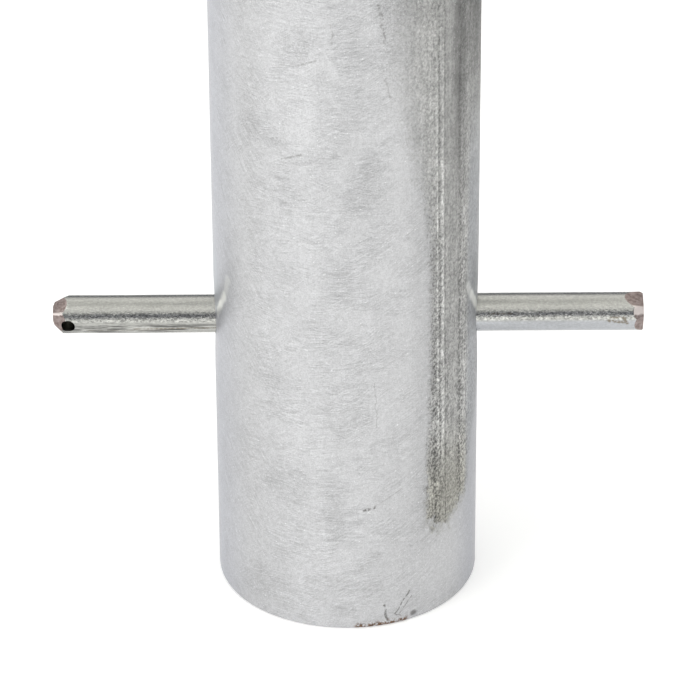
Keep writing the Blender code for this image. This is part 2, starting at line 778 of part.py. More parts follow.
def build_head(body, post, metals):
    """The cap, with the post's top end round its spigot, its gasket and the screws that hold it."""
    chamfer = 0.0015
    through = LOCK_BODY_RADIUS + GAP
    profile = [
        (through, -CAP_SPIGOT),
        (INSIDE_POST, -CAP_SPIGOT),
        (INSIDE_POST, 0),
        (CAP_RADIUS, 0),
        (CAP_RADIUS, CAP_THICKNESS - chamfer),
        (CAP_RADIUS - chamfer, CAP_THICKNESS),
        (through, CAP_THICKNESS),
    ]
    cap_mesh = turned(profile, FINE_SEGMENTS)
    cap = part("head_cap", cap_mesh, metals["cast_aluminium"], body, (0, 0, CAP_BASE))
    above = GROUND + 0.01
    groove_floor = GROUND - HANDLE_DROP - HANDLE_RADIUS - GROOVE_CLEARANCE
    cut(cap, extruded(handle_outline(HANDLE_RADIUS + GROOVE_CLEARANCE), groove_floor, above))
    right_end = arc((FINGER_POCKET_REACH, FINGER_POCKET_Y), FINGER_POCKET_RADIUS, -90, 90, 6)
    left_end = arc((-FINGER_POCKET_REACH, FINGER_POCKET_Y), FINGER_POCKET_RADIUS, 90, 270, 6)
    cut(cap, extruded(right_end + left_end, GROUND - FINGER_POCKET_DEPTH, above))
    room_x, room_y = KNUCKLE_HALF_WIDTH + 0.003, FLAP_HINGE_Y + 0.004
    flap_pocket = arc((0, 0), FLAP_RADIUS + 0.0007, 122, 418, 28) + [(room_x, room_y), (-room_x, room_y)]
    cut(cap, extruded(flap_pocket, LOCK_FLANGE_BASE - GAP, above))
    cut(cap, cylinder(0.006, GROUND - 0.0035, above), (0, 0.0005 - FLAP_RADIUS, 0))
    bore_start, bore_end = HANDLE_HALF_WIDTH - 0.003, HANDLE_STUB_END + 0.0006
    for side in (1, -1):
        bore = cylinder(HANDLE_RADIUS, bore_start, bore_end)
        cut(cap, bore, (0, HANDLE_PIVOT_Y, GROUND - HANDLE_DROP), (0, side * RADIAL, 0))
    pin_reach = FLAP_PIN_REACH + GAP
    pin_room = cylinder(FLAP_PIN_RADIUS + 0.0002, -pin_reach, pin_reach, 12)
    cut(cap, pin_room, (0, FLAP_HINGE_Y, GROUND - FLAP_HINGE_DROP), (0, RADIAL, 0))

    gasket = ring_mesh(0.0315, 0.050, GASKET_THICKNESS)
    part("cap_gasket", gasket, metals["black_rubber"], body, (0, 0, GASKET_BASE))
    radial_screws(
        "cap_screw",
        M5_SCREW,
        metals["stainless_steel"],
        body,
        CAP_BASE - 0.016,
        POST_RADIUS - 0.0005,
        (90, 210, 330),
        (post, cap),
    )


def build_handle(body, metals):
    """The folding bail, lying in its groove, with stub ends in the cap's side bores."""
    corner_centre = (HANDLE_HALF_WIDTH + HANDLE_CORNER, HANDLE_PIVOT_Y - HANDLE_CORNER)
    corner = arc(corner_centre, HANDLE_CORNER, 90, 180, 4)
    right_half = [(HANDLE_STUB_END, HANDLE_PIVOT_Y), *corner]
    bend = arc((0, HANDLE_BEND_Y), HANDLE_HALF_WIDTH, 0, -180, 16)
    left_half = [(-x, y) for x, y in reversed(right_half)]
    pivot = Vector(body.location)
    path = [(x - pivot.x, y - pivot.y) for x, y in right_half + bend + left_half]
    handle_bar = bar_along(path, HANDLE_RADIUS - 0.0002, 10)
    part("lift_handle", handle_bar, metals["stainless_steel"], body, pivot)


def build_key_lock(body, metals):
    """The lock's fixed barrel, the ring nut under it and the flap's hinge pin."""
    stainless = metals["stainless_steel"]
    barrel_length = LOCK_BODY_LENGTH
    recess_floor = GROUND - KEY_RECESS_FLOOR_DROP - LOCK_BODY_BASE
    flange_base = barrel_length
    flange_top = barrel_length + LOCK_FLANGE_THICKNESS
    plug_bore = 0.0074
    barrel_profile = [
        (plug_bore, 0),
        (LOCK_BODY_RADIUS, 0),
        (LOCK_BODY_RADIUS, flange_base),
        (FLAP_RADIUS - 0.0002, flange_base),
        (FLAP_RADIUS - 0.0002, flange_top),
        (KEY_RECESS_RADIUS, flange_top),
        (KEY_RECESS_RADIUS, recess_floor),
        (plug_bore, recess_floor),
    ]
    part("lock_barrel", turned(barrel_profile), stainless, body, (0, 0, LOCK_BODY_BASE))
    nut_height = 0.006
    nut_profile = [
        (LOCK_BODY_RADIUS + GAP, 0),
        (0.020, 0, True),
        (0.020, nut_height, True),
        (LOCK_BODY_RADIUS + GAP, nut_height),
    ]
    nut_at = (0, 0, CAP_BASE - CAP_SPIGOT - GAP - nut_height)
    part("barrel_nut", turned(nut_profile, 24), metals["brass"], body, nut_at)
    pin = cylinder(FLAP_PIN_RADIUS, -FLAP_PIN_REACH, FLAP_PIN_REACH, 12)
    pin_at = (0, FLAP_HINGE_Y, GROUND - FLAP_HINGE_DROP)
    part("flap_pin", pin, stainless, body, pin_at, (0, RADIAL, 0))


def build_flap(body, metals):
    """The round flap over the keyhole, with its hinge knuckle."""
    pivot = Vector(body.location)
    top = GROUND - 0.0004 - pivot.z
    base = top - FLAP_THICKNESS
    disc = arc((0, -pivot.y), FLAP_RADIUS, 112, 428, 28)
    tongue = [(KNUCKLE_HALF_WIDTH, 0), (-KNUCKLE_HALF_WIDTH, 0)]
    flap = part("dust_flap", extruded(disc + tongue, base, top), metals["stainless_steel"], body, pivot)
    knuckle = make_cutter(
        "dust_flap_knuckle",
        cylinder(FLAP_KNUCKLE_RADIUS, -KNUCKLE_HALF_WIDTH, KNUCKLE_HALF_WIDTH),
        body,
        pivot,
        (0, RADIAL, 0),
    )
    combine(flap, knuckle, "UNION")
    cut(flap, cylinder(FLAP_PIN_RADIUS + 0.0002, -0.01, 0.01, 12), pivot, (0, RADIAL, 0))


# ---------------------------------------------------------------- the whole bollard


def build_bollard():
    clear_scene()
    metals = {
        "galvanised_steel": make_material("galvanised_steel", (0.62, 0.64, 0.66), 0.5, 0.9),
        "bright_zinc": make_material("bright_zinc", (0.55, 0.56, 0.55), 0.3, 1.0),
        "stainless_steel": make_material("stainless_steel", (0.60, 0.60, 0.59), 0.25, 1.0),
        "cast_aluminium": make_material("cast_aluminium", (0.68, 0.69, 0.70), 0.45, 1.0),
        "brass": make_material("brass", (0.72, 0.55, 0.26), 0.3, 1.0),
        "black_nylon": make_material("black_nylon", (0.03, 0.03, 0.03), 0.5, 0.0),
        "black_rubber": make_material("black_rubber", (0.02, 0.02, 0.02), 0.75, 0.0),
        "red_reflective_film": make_material("red_reflective_film", (0.62, 0.02, 0.02), 0.3, 0.0),
    }
    bolt_height = FOOT_HEIGHT + BOLT_BASE + BOLT_HEIGHT / 2
    ground = make_body("ground_casing", (0, 0, 0))
    rod = make_body("rod_slide", (ROD_SHIFT, 0, ROD_HEIGHT))
    post_body = make_body("post_slide", (0, 0, FOOT_HEIGHT))
    spindle = make_body("key_axis", (0, 0, GROUND))
    bolts = {
        "right": make_body("right_bolt_slide", (BOLT_PIN_START, 0, bolt_height)),
        "left": make_body("left_bolt_slide", (-BOLT_PIN_START, 0, bolt_height)),
    }
    handle = make_body("handle_pivot", (0, HANDLE_PIVOT_Y, GROUND - HANDLE_DROP))
    flap = make_body("flap_pivot", (0, FLAP_HINGE_Y, GROUND - FLAP_HINGE_DROP))

    tube = build_ground_tube(ground, metals)
    build_anchor_rod(rod, metals)
    build_frame(ground, tube, metals)
    build_guide_rail(ground, tube, metals)
    post = build_post_tube(post_body, metals)
    build_guide_shoe(post_body, post, metals)
    build_bolt_work(post_body, spindle, bolts, post, metals)
    build_spindle(post_body, spindle, metals)
    build_head(post_body, post, metals)
    build_key_lock(post_body, metals)
    build_handle(handle, metals)
    build_flap(flap, metals)


build_bollard()
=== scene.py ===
import json
import math

import bmesh
import bpy
import numpy as np
from mathutils import Euler, Matrix, Vector, noise


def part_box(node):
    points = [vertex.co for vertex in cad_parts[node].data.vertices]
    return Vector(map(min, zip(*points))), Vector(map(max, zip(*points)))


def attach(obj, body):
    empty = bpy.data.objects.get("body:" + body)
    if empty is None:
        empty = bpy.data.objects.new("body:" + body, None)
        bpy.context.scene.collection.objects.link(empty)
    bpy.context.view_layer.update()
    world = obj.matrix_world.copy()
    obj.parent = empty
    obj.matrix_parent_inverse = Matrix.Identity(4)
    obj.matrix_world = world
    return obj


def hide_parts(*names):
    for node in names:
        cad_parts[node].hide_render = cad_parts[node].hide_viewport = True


# Looks of the retractable bollard. Metres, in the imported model's frame: +Z up, the anchor rod along X,
# the tube's open foot on z = 0. Texture sizes inside materials are in millimetres.

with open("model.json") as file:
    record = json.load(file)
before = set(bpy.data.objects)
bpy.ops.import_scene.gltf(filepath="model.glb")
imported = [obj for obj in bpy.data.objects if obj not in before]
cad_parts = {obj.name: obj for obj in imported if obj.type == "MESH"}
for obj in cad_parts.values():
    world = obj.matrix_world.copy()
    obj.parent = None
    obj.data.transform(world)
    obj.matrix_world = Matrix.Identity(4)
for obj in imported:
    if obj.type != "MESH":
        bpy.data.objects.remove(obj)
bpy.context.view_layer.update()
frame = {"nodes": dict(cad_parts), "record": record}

MM = 0.001
SEGMENTS = 160
SMALL_SEGMENTS = 40
QUARTER_TURN = math.pi / 2

# The wall of both tubes, and the gap between pieces that fit into each other
WALL = 3.2 * MM
GAP = 0.3 * MM

# Sizes read from the frame
TUBE_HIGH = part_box("ground_tube")[1]
TUBE_RADIUS = TUBE_HIGH.x
TUBE_BORE = TUBE_RADIUS - WALL
ROD_LOW, ROD_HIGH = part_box("anchor_rod")
ROD_MIDDLE = (ROD_LOW + ROD_HIGH) / 2
ROD_RADIUS = (ROD_HIGH.y - ROD_LOW.y) / 2
ROD_LENGTH = ROD_HIGH.x - ROD_LOW.x
ROD_HOLE_RADIUS = ROD_RADIUS + 0.35 * MM
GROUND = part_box("frame_ring")[1].z
POST_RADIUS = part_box("post_tube")[1].x
POST_BORE = POST_RADIUS - WALL

# The wall is pressed in round the rod's holes, and a run of rough zinc follows the tube's weld seam
# down to a height in mm. Angles are measured from the front (-Y) towards +X.
DISH_RADIUS = 18 * MM
DISH_DEPTH = 0.4 * MM
RUN_END = 33.0

GALVANISED_TONE = (0.596, 0.597, 0.609)


# ---------------------------------------------------------------- meshes


def bridge(mesh, rings, capped=False):
    """Faces between neighbouring rings of points, and over both end rings when capped."""
    for lower, upper in zip(rings, rings[1:]):
        for this in range(len(lower)):
            after = (this + 1) % len(lower)
            mesh.faces.new(dict.fromkeys((lower[this], lower[after], upper[after], upper[this])))
    if capped:
        mesh.faces.new(rings[0])
        mesh.faces.new(rings[-1])


def turned(profile, segments=SEGMENTS):
    """A solid turned about Z from (radius, z) points, closed on itself or ending on the axis."""
    mesh = bmesh.new()
    rings = []
    for radius, z in profile:
        if radius == 0:
            rings.append([mesh.verts.new((0, 0, z))] * segments)
            continue
        angles = [math.tau * step / segments for step in range(segments)]
        rings.append([mesh.verts.new((radius * math.cos(a), radius * math.sin(a), z)) for a in angles])
    if profile[0][0] > 0:
        rings.append(rings[0])
    bridge(mesh, rings)
    return mesh


def rounded(points, radius, steps=3):
    """The same closed (radius, z) outline with each corner off the axis rounded."""
    result = []
    count = len(points)
    for i, point in enumerate(points):
        corner = Vector(point)
        if corner.x == 0:
            result.append(tuple(corner))
            continue
        before, after = Vector(points[i - 1]) - corner, Vector(points[(i + 1) % count]) - corner
        reach = min(radius, before.length * 0.45, after.length * 0.45)
        start, end = corner + before.normalized() * reach, corner + after.normalized() * reach
        for step in range(steps + 1):
            t = step / steps
            result.append(tuple(start * (1 - t) ** 2 + corner * 2 * t * (1 - t) + end * t**2))
    return result


def cylinder(radius, bottom, top, segments=SMALL_SEGMENTS):
    return turned([(0, bottom), (radius, bottom), (radius, top), (0, top)], segments)


def cuboid(low, high):
    mesh = bmesh.new()
    middle = (Vector(low) + Vector(high)) / 2
    sides = Vector(high) - Vector(low)
    bmesh.ops.create_cube(mesh, size=1, matrix=Matrix.Translation(middle) @ Matrix.Diagonal((*sides, 1)))
    return mesh


def arc(centre, radius, start, end, steps):
    """Points on a circle from one angle to another, in degrees, both ends included."""
    angles = [math.radians(start + (end - start) * i / steps) for i in range(steps + 1)]
    return [(centre[0] + radius * math.cos(a), centre[1] + radius * math.sin(a)) for a in angles]


def extruded(outline, bottom, top):
    """A prism standing on a closed outline of (x, y) points."""
    mesh = bmesh.new()
    base = mesh.faces.new([mesh.verts.new((x, y, bottom)) for x, y in outline])
    raised = bmesh.ops.extrude_face_region(mesh, geom=[base])
    lifted = [item for item in raised["geom"] if isinstance(item, bmesh.types.BMVert)]
    bmesh.ops.translate(mesh, verts=lifted, vec=(0, 0, top - bottom))
    return mesh


def make_object(name, mesh, smooth_angle=35):
    data = bpy.data.meshes.new(name)
    bmesh.ops.recalc_face_normals(mesh, faces=mesh.faces)
    mesh.to_mesh(data)
    mesh.free()
    data.shade_smooth()
    data.set_sharp_from_angle(angle=math.radians(smooth_angle))
    obj = bpy.data.objects.new(name, data)
    bpy.context.scene.collection.objects.link(obj)
    return obj


def placed(mesh, at=(0, 0, 0), turn=(0, 0, 0)):
    """The mesh turned about X, then Y, then Z, and then moved."""
    matrix = Matrix.Translation(at)
    for angle, axis in zip(reversed(turn), "ZYX"):
        matrix = matrix @ Matrix.Rotation(angle, 4, axis)
    bmesh.ops.transform(mesh, matrix=matrix, verts=mesh.verts)
    return mesh


def apply_modifiers(obj):
    """Turns the object into the mesh that its modifiers make."""
    graph = bpy.context.evaluated_depsgraph_get()
    made = bpy.data.meshes.new_from_object(obj.evaluated_get(graph))
    obj.modifiers.clear()
    obj.data = made


def cut(obj, *meshes, operation="DIFFERENCE"):
    """Takes shapes out of an object, or adds them, and leaves a plain mesh."""
    cutters = [make_object(f"{obj.name}_cutter_{i}", mesh) for i, mesh in enumerate(meshes)]
    for cutter in cutters:
        modifier = obj.modifiers.new("cut", "BOOLEAN")
        modifier.operation = operation
        modifier.solver = "EXACT"
        modifier.object = cutter
    apply_modifiers(obj)
    for cutter in cutters:
        bpy.data.objects.remove(cutter)
    obj.data.shade_smooth()
    obj.data.set_sharp_from_angle(angle=math.radians(35))


def stands_for(obj, node, material):
    """The piece takes a CAD node's place and body, and the given material if it has none."""
    body = next(b for b, nodes in frame["record"]["behaviour"]["bodies"].items() if node in nodes)
    slot = next(s["material_slot"] for s in frame["record"]["subparts"] if s["node"] == node)
    if not obj.data.materials:
        obj.data.materials.append(material)
    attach(obj, body)
    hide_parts(node)
    return obj


# ---------------------------------------------------------------- material nodes


class Value:
    """The output of a node, which can be added, multiplied and so on like a number."""

    def __init__(self, graph, socket):
        self.graph = graph
        self.socket = socket

    def __add__(self, other):
        return self.graph.math("ADD", self, other)

    def __sub__(self, other):
        return self.graph.math("SUBTRACT", self, other)

    def __rsub__(self, other):
        return self.graph.math("SUBTRACT", other, self)

    def __mul__(self, other):
        return self.graph.math("MULTIPLY", self, other)

    def __neg__(self):
        return self * -1.0

    def __abs__(self):
        return self.graph.math("ABSOLUTE", self)

    __radd__ = __add__
    __rmul__ = __mul__


class Graph:
    """A material's nodes under short names. Coordinates are in millimetres."""

    def __init__(self, name):
        self.material = bpy.data.materials.new(name)
        self.material.use_nodes = True
        self.tree = self.material.node_tree
        self.shader = self.tree.nodes["Principled BSDF"]
        place = Value(self, self.node("ShaderNodeTexCoord").outputs["Object"])
        self.where = self.scaled(place, (1000, 1000, 1000))

    def node(self, kind, **settings):
        made = self.tree.nodes.new(kind)
        for key, value in settings.items():
            setattr(made, key, value)
        return made

    def put(self, socket, value):
        if isinstance(value, Value):
            self.tree.links.new(value.socket, socket)
        elif value is not None:
            socket.default_value = value

    def math(self, operation, *values, clamp=False):
        made = self.node("ShaderNodeMath", operation=operation, use_clamp=clamp)
        for socket, value in zip(made.inputs, values):
            self.put(socket, value)
        return Value(self, made.outputs[0])

    def wavy(self, size, detail, roughness, seed, reach):
        """Noise that swings to both sides of 0."""
        return (self.noise(size, detail, roughness, seed=seed) - 0.5) * reach

    def tinted(self, tone, value):
        """A tone made brighter or darker by a value."""
        return self.blend(1.0, tone, self.vector(value, value, value), mode="MULTIPLY")

    def scaled(self, vector, factors):
        made = self.node("ShaderNodeVectorMath", operation="MULTIPLY")
        self.put(made.inputs[0], vector)
        made.inputs[1].default_value = factors
        return Value(self, made.outputs[0])

    def vector(self, x, y, z=0.0):
        made = self.node("ShaderNodeCombineXYZ")
        for socket, value in zip(made.inputs, (x, y, z)):
            self.put(socket, value)
        return Value(self, made.outputs[0])

    def axes(self, vector=None):
        made = self.node("ShaderNodeSeparateXYZ")
        self.put(made.inputs[0], vector or self.where)
        return tuple(Value(self, output) for output in made.outputs)

    def noise(self, size, detail=3.0, roughness=0.5, vector=None, stretch=(1, 1, 1), seed=0.0):
        """Noise from about 0 to 1 whose lumps are about size millimetres across."""
        made = self.node("ShaderNodeTexNoise", noise_dimensions="4D")
        self.put(made.inputs["Vector"], self.scaled(vector or self.where, stretch))
        made.inputs["W"].default_value = seed
        made.inputs["Scale"].default_value = 1 / size
        made.inputs["Detail"].default_value = detail
        made.inputs["Roughness"].default_value = roughness
        return Value(self, made.outputs["Fac"])

    def cells(self, size, feature="F1", vector=None, output="Distance", randomness=1.0):
        made = self.node("ShaderNodeTexVoronoi", feature=feature)
        self.put(made.inputs["Vector"], vector or self.where)
        made.inputs["Scale"].default_value = 1 / size
        made.inputs["Randomness"].default_value = randomness
        return Value(self, made.outputs[output])

    def band(self, value, low, high, to_low=0.0, to_high=1.0):
        """Goes smoothly from to_low to to_high as value goes from low to high."""
        made = self.node("ShaderNodeMapRange", interpolation_type="SMOOTHSTEP")
        for name, number in (("From Min", low), ("From Max", high), ("To Min", to_low), ("To Max", to_high)):
            self.put(made.inputs[name], number)
        self.put(made.inputs["Value"], value)
        return Value(self, made.outputs["Result"])

    def blend(self, share, first, second, mode="MIX"):
        made = self.node("ShaderNodeMix", data_type="RGBA", blend_type=mode)
        for socket, value in zip((made.inputs[0], made.inputs[6], made.inputs[7]), (share, first, second)):
            if isinstance(value, tuple) and len(value) == 3:
                value = (*value, 1)
            self.put(socket, value)
        return Value(self, made.outputs[2])

    def bump(self, height, distance, strength=1.0, normal=None):
        """Bump whose height of 1 is distance millimetres."""
        made = self.node("ShaderNodeBump")
        made.inputs["Distance"].default_value = distance * MM
        made.inputs["Strength"].default_value = strength
        self.put(made.inputs["Height"], height)
        self.put(made.inputs["Normal"], normal)
        return Value(self, made.outputs["Normal"])

    def finish(self, colour, roughness, metallic, normal=None, **constants):
        self.put(self.shader.inputs["Base Color"], (*colour, 1) if isinstance(colour, tuple) else colour)
        self.put(self.shader.inputs["Roughness"], roughness)
        self.put(self.shader.inputs["Metallic"], metallic)
        self.put(self.shader.inputs["Normal"], normal)
        for name, value in constants.items():
            self.shader.inputs[name.replace("_", " ")].default_value = value
        return self.material


def wrapped(graph, radius):
    """Where a point is on a wall round Z: distance round it from the front towards +X, and height."""
    x, y, z = graph.axes()
    angle = graph.math("ARCTAN2", x, -y)
    return angle * (radius / MM), z


def streaks(graph, across, up, angle, length, width, seed):
    """Fine brushed streaks in one direction, in degrees from level, which wander a little."""
    wander = graph.wavy(18, 2, 0.5, seed, 7.0)
    along = math.radians(angle)
    u = across * math.cos(along) + up * math.sin(along)
    v = up * math.cos(along) - across * math.sin(along)
    place = graph.vector(u * (1 / length), (v + wander) * (1 / width), seed)
    return graph.noise(1.0, 3, 0.65, place)


def painted_glints(graph, size, share):
    """Tiny painted glints: bright points on a few of the cells of a fine pattern."""
    picked = graph.axes(graph.cells(size, output="Color"))[0]
    chosen = graph.math("GREATER_THAN", picked, 1 - share)
    return chosen * graph.band(graph.cells(size), 0.34, 0.12)


def line_mark(graph, across, up, start, end, width):
    """1 along a straight mark between two (distance round, height) points, fading to 0 at its width."""
    (x0, y0), (x1, y1) = start, end
    dx, dy = x1 - x0, y1 - y0
    rx, ry = across - x0, up - y0
    run = rx * dx + ry * dy
    t = graph.math("MULTIPLY", run, 1 / (dx * dx + dy * dy), clamp=True)
    ox = rx - t * dx
    oy = ry - t * dy
    away = graph.math("SQRT", ox * ox + oy * oy)
    return graph.band(away, width, width * 0.2)


def patch_mark(graph, across, up, at, reach, edge=0.35):
    """1 inside an oval patch with a ragged edge, and 0 outside it."""
    dx = (across - at[0]) * (1 / reach[0])
    dy = (up - at[1]) * (1 / reach[1])
    away = graph.math("SQRT", dx * dx + dy * dy)
    ragged = away + graph.wavy(2.2, 3, 0.6, at[0], 1.6)
    return graph.band(ragged, 1.0 + edge, 1.0 - edge)


def ridge(graph, value, centre, half_width):
    """1 where the value is at the centre, fading to 0 at the half width."""
    return graph.band(abs(value - centre), half_width, half_width * 0.2)


def near_front(graph, across, low, high, soft):
    """1 where the distance round the wall is between two values, with soft edges."""
    rising = graph.band(across, low - soft, low + soft)
    return rising * graph.band(across, high + soft, high - soft)


def zinc_grain(graph):
    """The fine mottled grain of hot-dip zinc: two sizes of speckle."""
    fine = graph.noise(0.5, 2, 0.75, seed=5.0)
    coarse = graph.noise(1.5, 3, 0.6, seed=15.0)
    return fine * 0.7 + coarse * 0.3


def galvanised_material():
    """Hot-dip zinc for the frame, the welds and the post: cloudy, with fine grain and a few painted glints.
    """
    g = Graph("galvanised_steel")
    clouds = g.noise(14, 4, 0.55, stretch=(1, 1, 0.6))
    grain = zinc_grain(g)
    value = g.band(clouds, 0.3, 0.7, 0.93, 1.06) * g.band(grain, 0.3, 0.7, 0.87, 1.11)
    # Painted glints: a few tiny bright points in the zinc.
    value += painted_glints(g, 1.1, 0.03) * 0.35
    colour = g.tinted((0.47, 0.475, 0.485), value)
    return g.finish(colour, 0.42, 0.9, g.bump(grain, 0.10))


# Brushing on the ground tube: direction in degrees from level, the span of the wall it covers
# (distance round from the front, in mm), its seed, and how dark its strokes are
BRUSHING = (
    (3, (-38, 12), 1.0, 0.085),
    (-14, (-30, 30), 7.0, 0.05),
    (27, (-6, 62), 4.0, 0.07),
    (34, (-50, 4), 13.0, 0.045),
    (-47, (-72, -26), 9.0, 0.08),
)

# Darker smudges in the zinc: (distance round, height), half sizes, strength
SMUDGES = (
    ((-35, 187), (5, 9), 0.075),
    ((-15, 218), (6, 6), 0.075),
    ((-23, 182), (5, 2), 0.075),
    ((-24, 158), (6, 5), 0.045),
    ((9, 171), (5, 9), 0.0675),
    ((3, 160), (4, 4), 0.0375),
    ((-21, 56), (9, 6), 0.0675),
    ((-4, 43), (3, 10), 0.06),
    ((-31, 12), (9, 7), 0.0375),
    ((0, 86), (7, 14), 0.03),
    ((-28, 96), (9, 8), 0.045),
)

# Pale, smoother clouds in the zinc, in the same form
PALE_CLOUDS = (
    ((-17, 190), (10, 14), 0.05),
    ((-12, 215), (8, 10), 0.04),
    ((-8, 150), (8, 10), 0.03),
    ((-14, 70), (7, 12), 0.05),
    ((-1, 76), (3, 20), 0.04),
    ((-5, 30), (7, 8), 0.03),
    ((33, 16), (10, 9), 0.03),
)

# The rough run of zinc along the tube's seam, by distance round the wall: each groove's centre and half
# width and its share of depth high up, and each raised line's centre and half width
RUN_GROOVES = ((31.7, 1.4, 0.2), (34.3, 0.4, 0.8), (36.9, 0.45, 0.8), (44.7, 1.3, 0.6))
RUN_LINES = ((35.6, 0.95), (33.2, 0.35))
RUN_SHADE_CENTRE = 43.5

# How far the grooves and lines lean towards the front per mm of height, and from which height
RUN_LEAN, RUN_LEAN_FROM = 0.012, 90.0


def seam_run(g, across, up):
    """How much of the rough run covers a point: wide and soft-edged high up, narrow lower down."""
    ragged = g.wavy(5, 4, 0.7, 9.0, 4.0)
    speckled = g.wavy(0.9, 3, 0.7, 19.0, g.band(up, 90, 190, 7.0, 20.0))
    widened = g.band(up, 95, 50, 0.0, 1.4)
    place = across + ragged + speckled + widened
    narrowed = g.band(up, 235, 120)
    left = g.band(place, g.band(narrowed, 0, 1, 9.0, 28.8), g.band(narrowed, 0, 1, 31.0, 31.6))
    right = g.band(place, g.band(up, 45, 110, 56.0, 92.0), g.band(up, 45, 110, 50.5, 70.0))
    torn = g.wavy(3.0, 4, 0.7, 21.0, 22.0)
    slope = abs(across - 36.0) * 0.55
    ended = g.band(up + torn - slope, RUN_END - 5, RUN_END + 3)
    return left * right * ended


def painted_tube_shade(g, across, up, grain):
    """Painted shade round the tube: the zinc dimmer to both sides, near the foot and behind, with a faint
    painted highlight left of the front and dark flecks high on the front.
    """
    # Painted shade: darker towards both sides of the tube, a little darker near the foot, and an even grey
    # behind.
    shading = g.band(across, 0, 24, 1.02, 0.95) * g.band(across, 30, 62, 1.0, 0.84)
    shading *= g.band(across, 19, 29, 1.0, g.band(up, 20, 50, 0.97, 0.87))
    shading *= g.band(across, -22, -56, 1.0, 0.82)
    shading *= g.band(up, 110, 40, 1.0, 0.978)
    behind = g.band(abs(across), 85, 130)
    shading = g.blend(behind, shading, (0.80, 0.80, 0.80))
    # A faint painted highlight left of the front, and a faint darker strip down the front high up.
    shading *= 1 + ridge(g, across, -14, 9) * 0.03
    shading *= 1 - ridge(g, across, 1, 8) * g.band(up, 110, 140) * 0.025
    flecked_top = near_front(g, across, 11, 24, 6) * g.band(up, 200, 238)
    return shading * (1 - flecked_top * g.band(grain, 0.65, 0.35, 0.02, 0.34))


def brushed(g, across, up, value, height):
    """Adds the brushing's strokes to the brightness and to the relief."""
    for angle, (low, high), seed, depth in BRUSHING:
        line = streaks(g, across, up, angle, 9.0, 0.45, seed)
        patchy = g.band(g.noise(9, 2, seed=seed + 20.0), 0.40, 0.56)
        cover = near_front(g, across, low, high, 8) * patchy
        value *= 1 + cover * g.band(line, 0.36, 0.64, -1.5 * depth, 1.1 * depth)
        height += cover * line * 1.2
    return value, height


def run_tones(g, across, up, grit):
    """The rough run's colour: grit, broken grooves and raised lines along it, painted shade towards the
    tube's right side high up, and olive at its low end.
    """
    jitter = g.wavy(2.5, 3, 0.6, 12.0, 2.2)
    wavering = across + jitter
    along = g.noise(1.0, 2, 0.6, g.vector(wavering * (1 / 1.3), up * (1 / 22), 0.0), seed=2.0)
    middle = g.band(wavering, 34, 36) * g.band(wavering, 45, 43)
    depth = g.band(up, 200, 60, 0.3, 0.6) * g.band(middle, 0, 1, 1.0, 0.62)
    value = 1 + g.band(grit, 0.34, 0.66, -1.0, 1.0) * depth
    value *= g.band(along, 0.3, 0.7, 0.88, 1.1)
    value *= g.band(g.noise(7, 3, 0.6, seed=27.0), 0.35, 0.65, 0.9, 1.1)
    # Painted shade: a dark strip near the run's right edge, and the run darker towards the tube's right side,
    # both high up.
    shade = ridge(g, wavering, RUN_SHADE_CENTRE, 6.5) * g.band(up, 140, 195)
    value *= 1 - shade * 0.38
    right_side_shade = g.band(wavering, 38, 56) * g.band(wavering, 80, 63) * g.band(up, 160, 225)
    value *= 1 - right_side_shade * 0.56
    value *= 1 + ridge(g, across, 28, 6.5) * g.band(up, 120, 160) * 0.17
    smooth_right = g.band(wavering, 48, 53) * g.band(up, 200, 150)
    value = g.blend(smooth_right * 0.55, value, (1.0, 1.0, 1.0))
    leaning = across + (up - RUN_LEAN_FROM) * RUN_LEAN
    for centre, half_width, high_share in RUN_GROOVES:
        broken = g.band(g.noise(4, 3, 0.6, seed=centre), 0.34, 0.54)
        broken *= g.band(up, 85, 120, 1.0, high_share)
        groove = ridge(g, leaning + jitter * 0.4, centre, half_width) * broken
        value *= 1 - groove * g.band(grit, 0.35, 0.6, 0.5, 0.25)
    low_end = g.band(up, 76, 44)
    line_reach = g.band(up, 208, 170) * (1 - low_end)
    for centre, half_width in RUN_LINES:
        line = ridge(g, leaning + jitter * 0.25, centre, half_width)
        value *= 1 + line * line_reach * g.band(grit, 0.3, 0.6, 0.34, 0.42)
    value *= g.band(low_end, 0, 1, 0.8, 0.7)
    # Painted glints: tiny bright points in the rough run.
    value += painted_glints(g, 0.9, 0.14) * 0.34
    tone = g.blend(low_end, (0.545, 0.543, 0.535), (0.545, 0.535, 0.490))
    tone = g.blend(smooth_right, tone, (0.490, 0.500, 0.520))
    return g.tinted(tone, value)


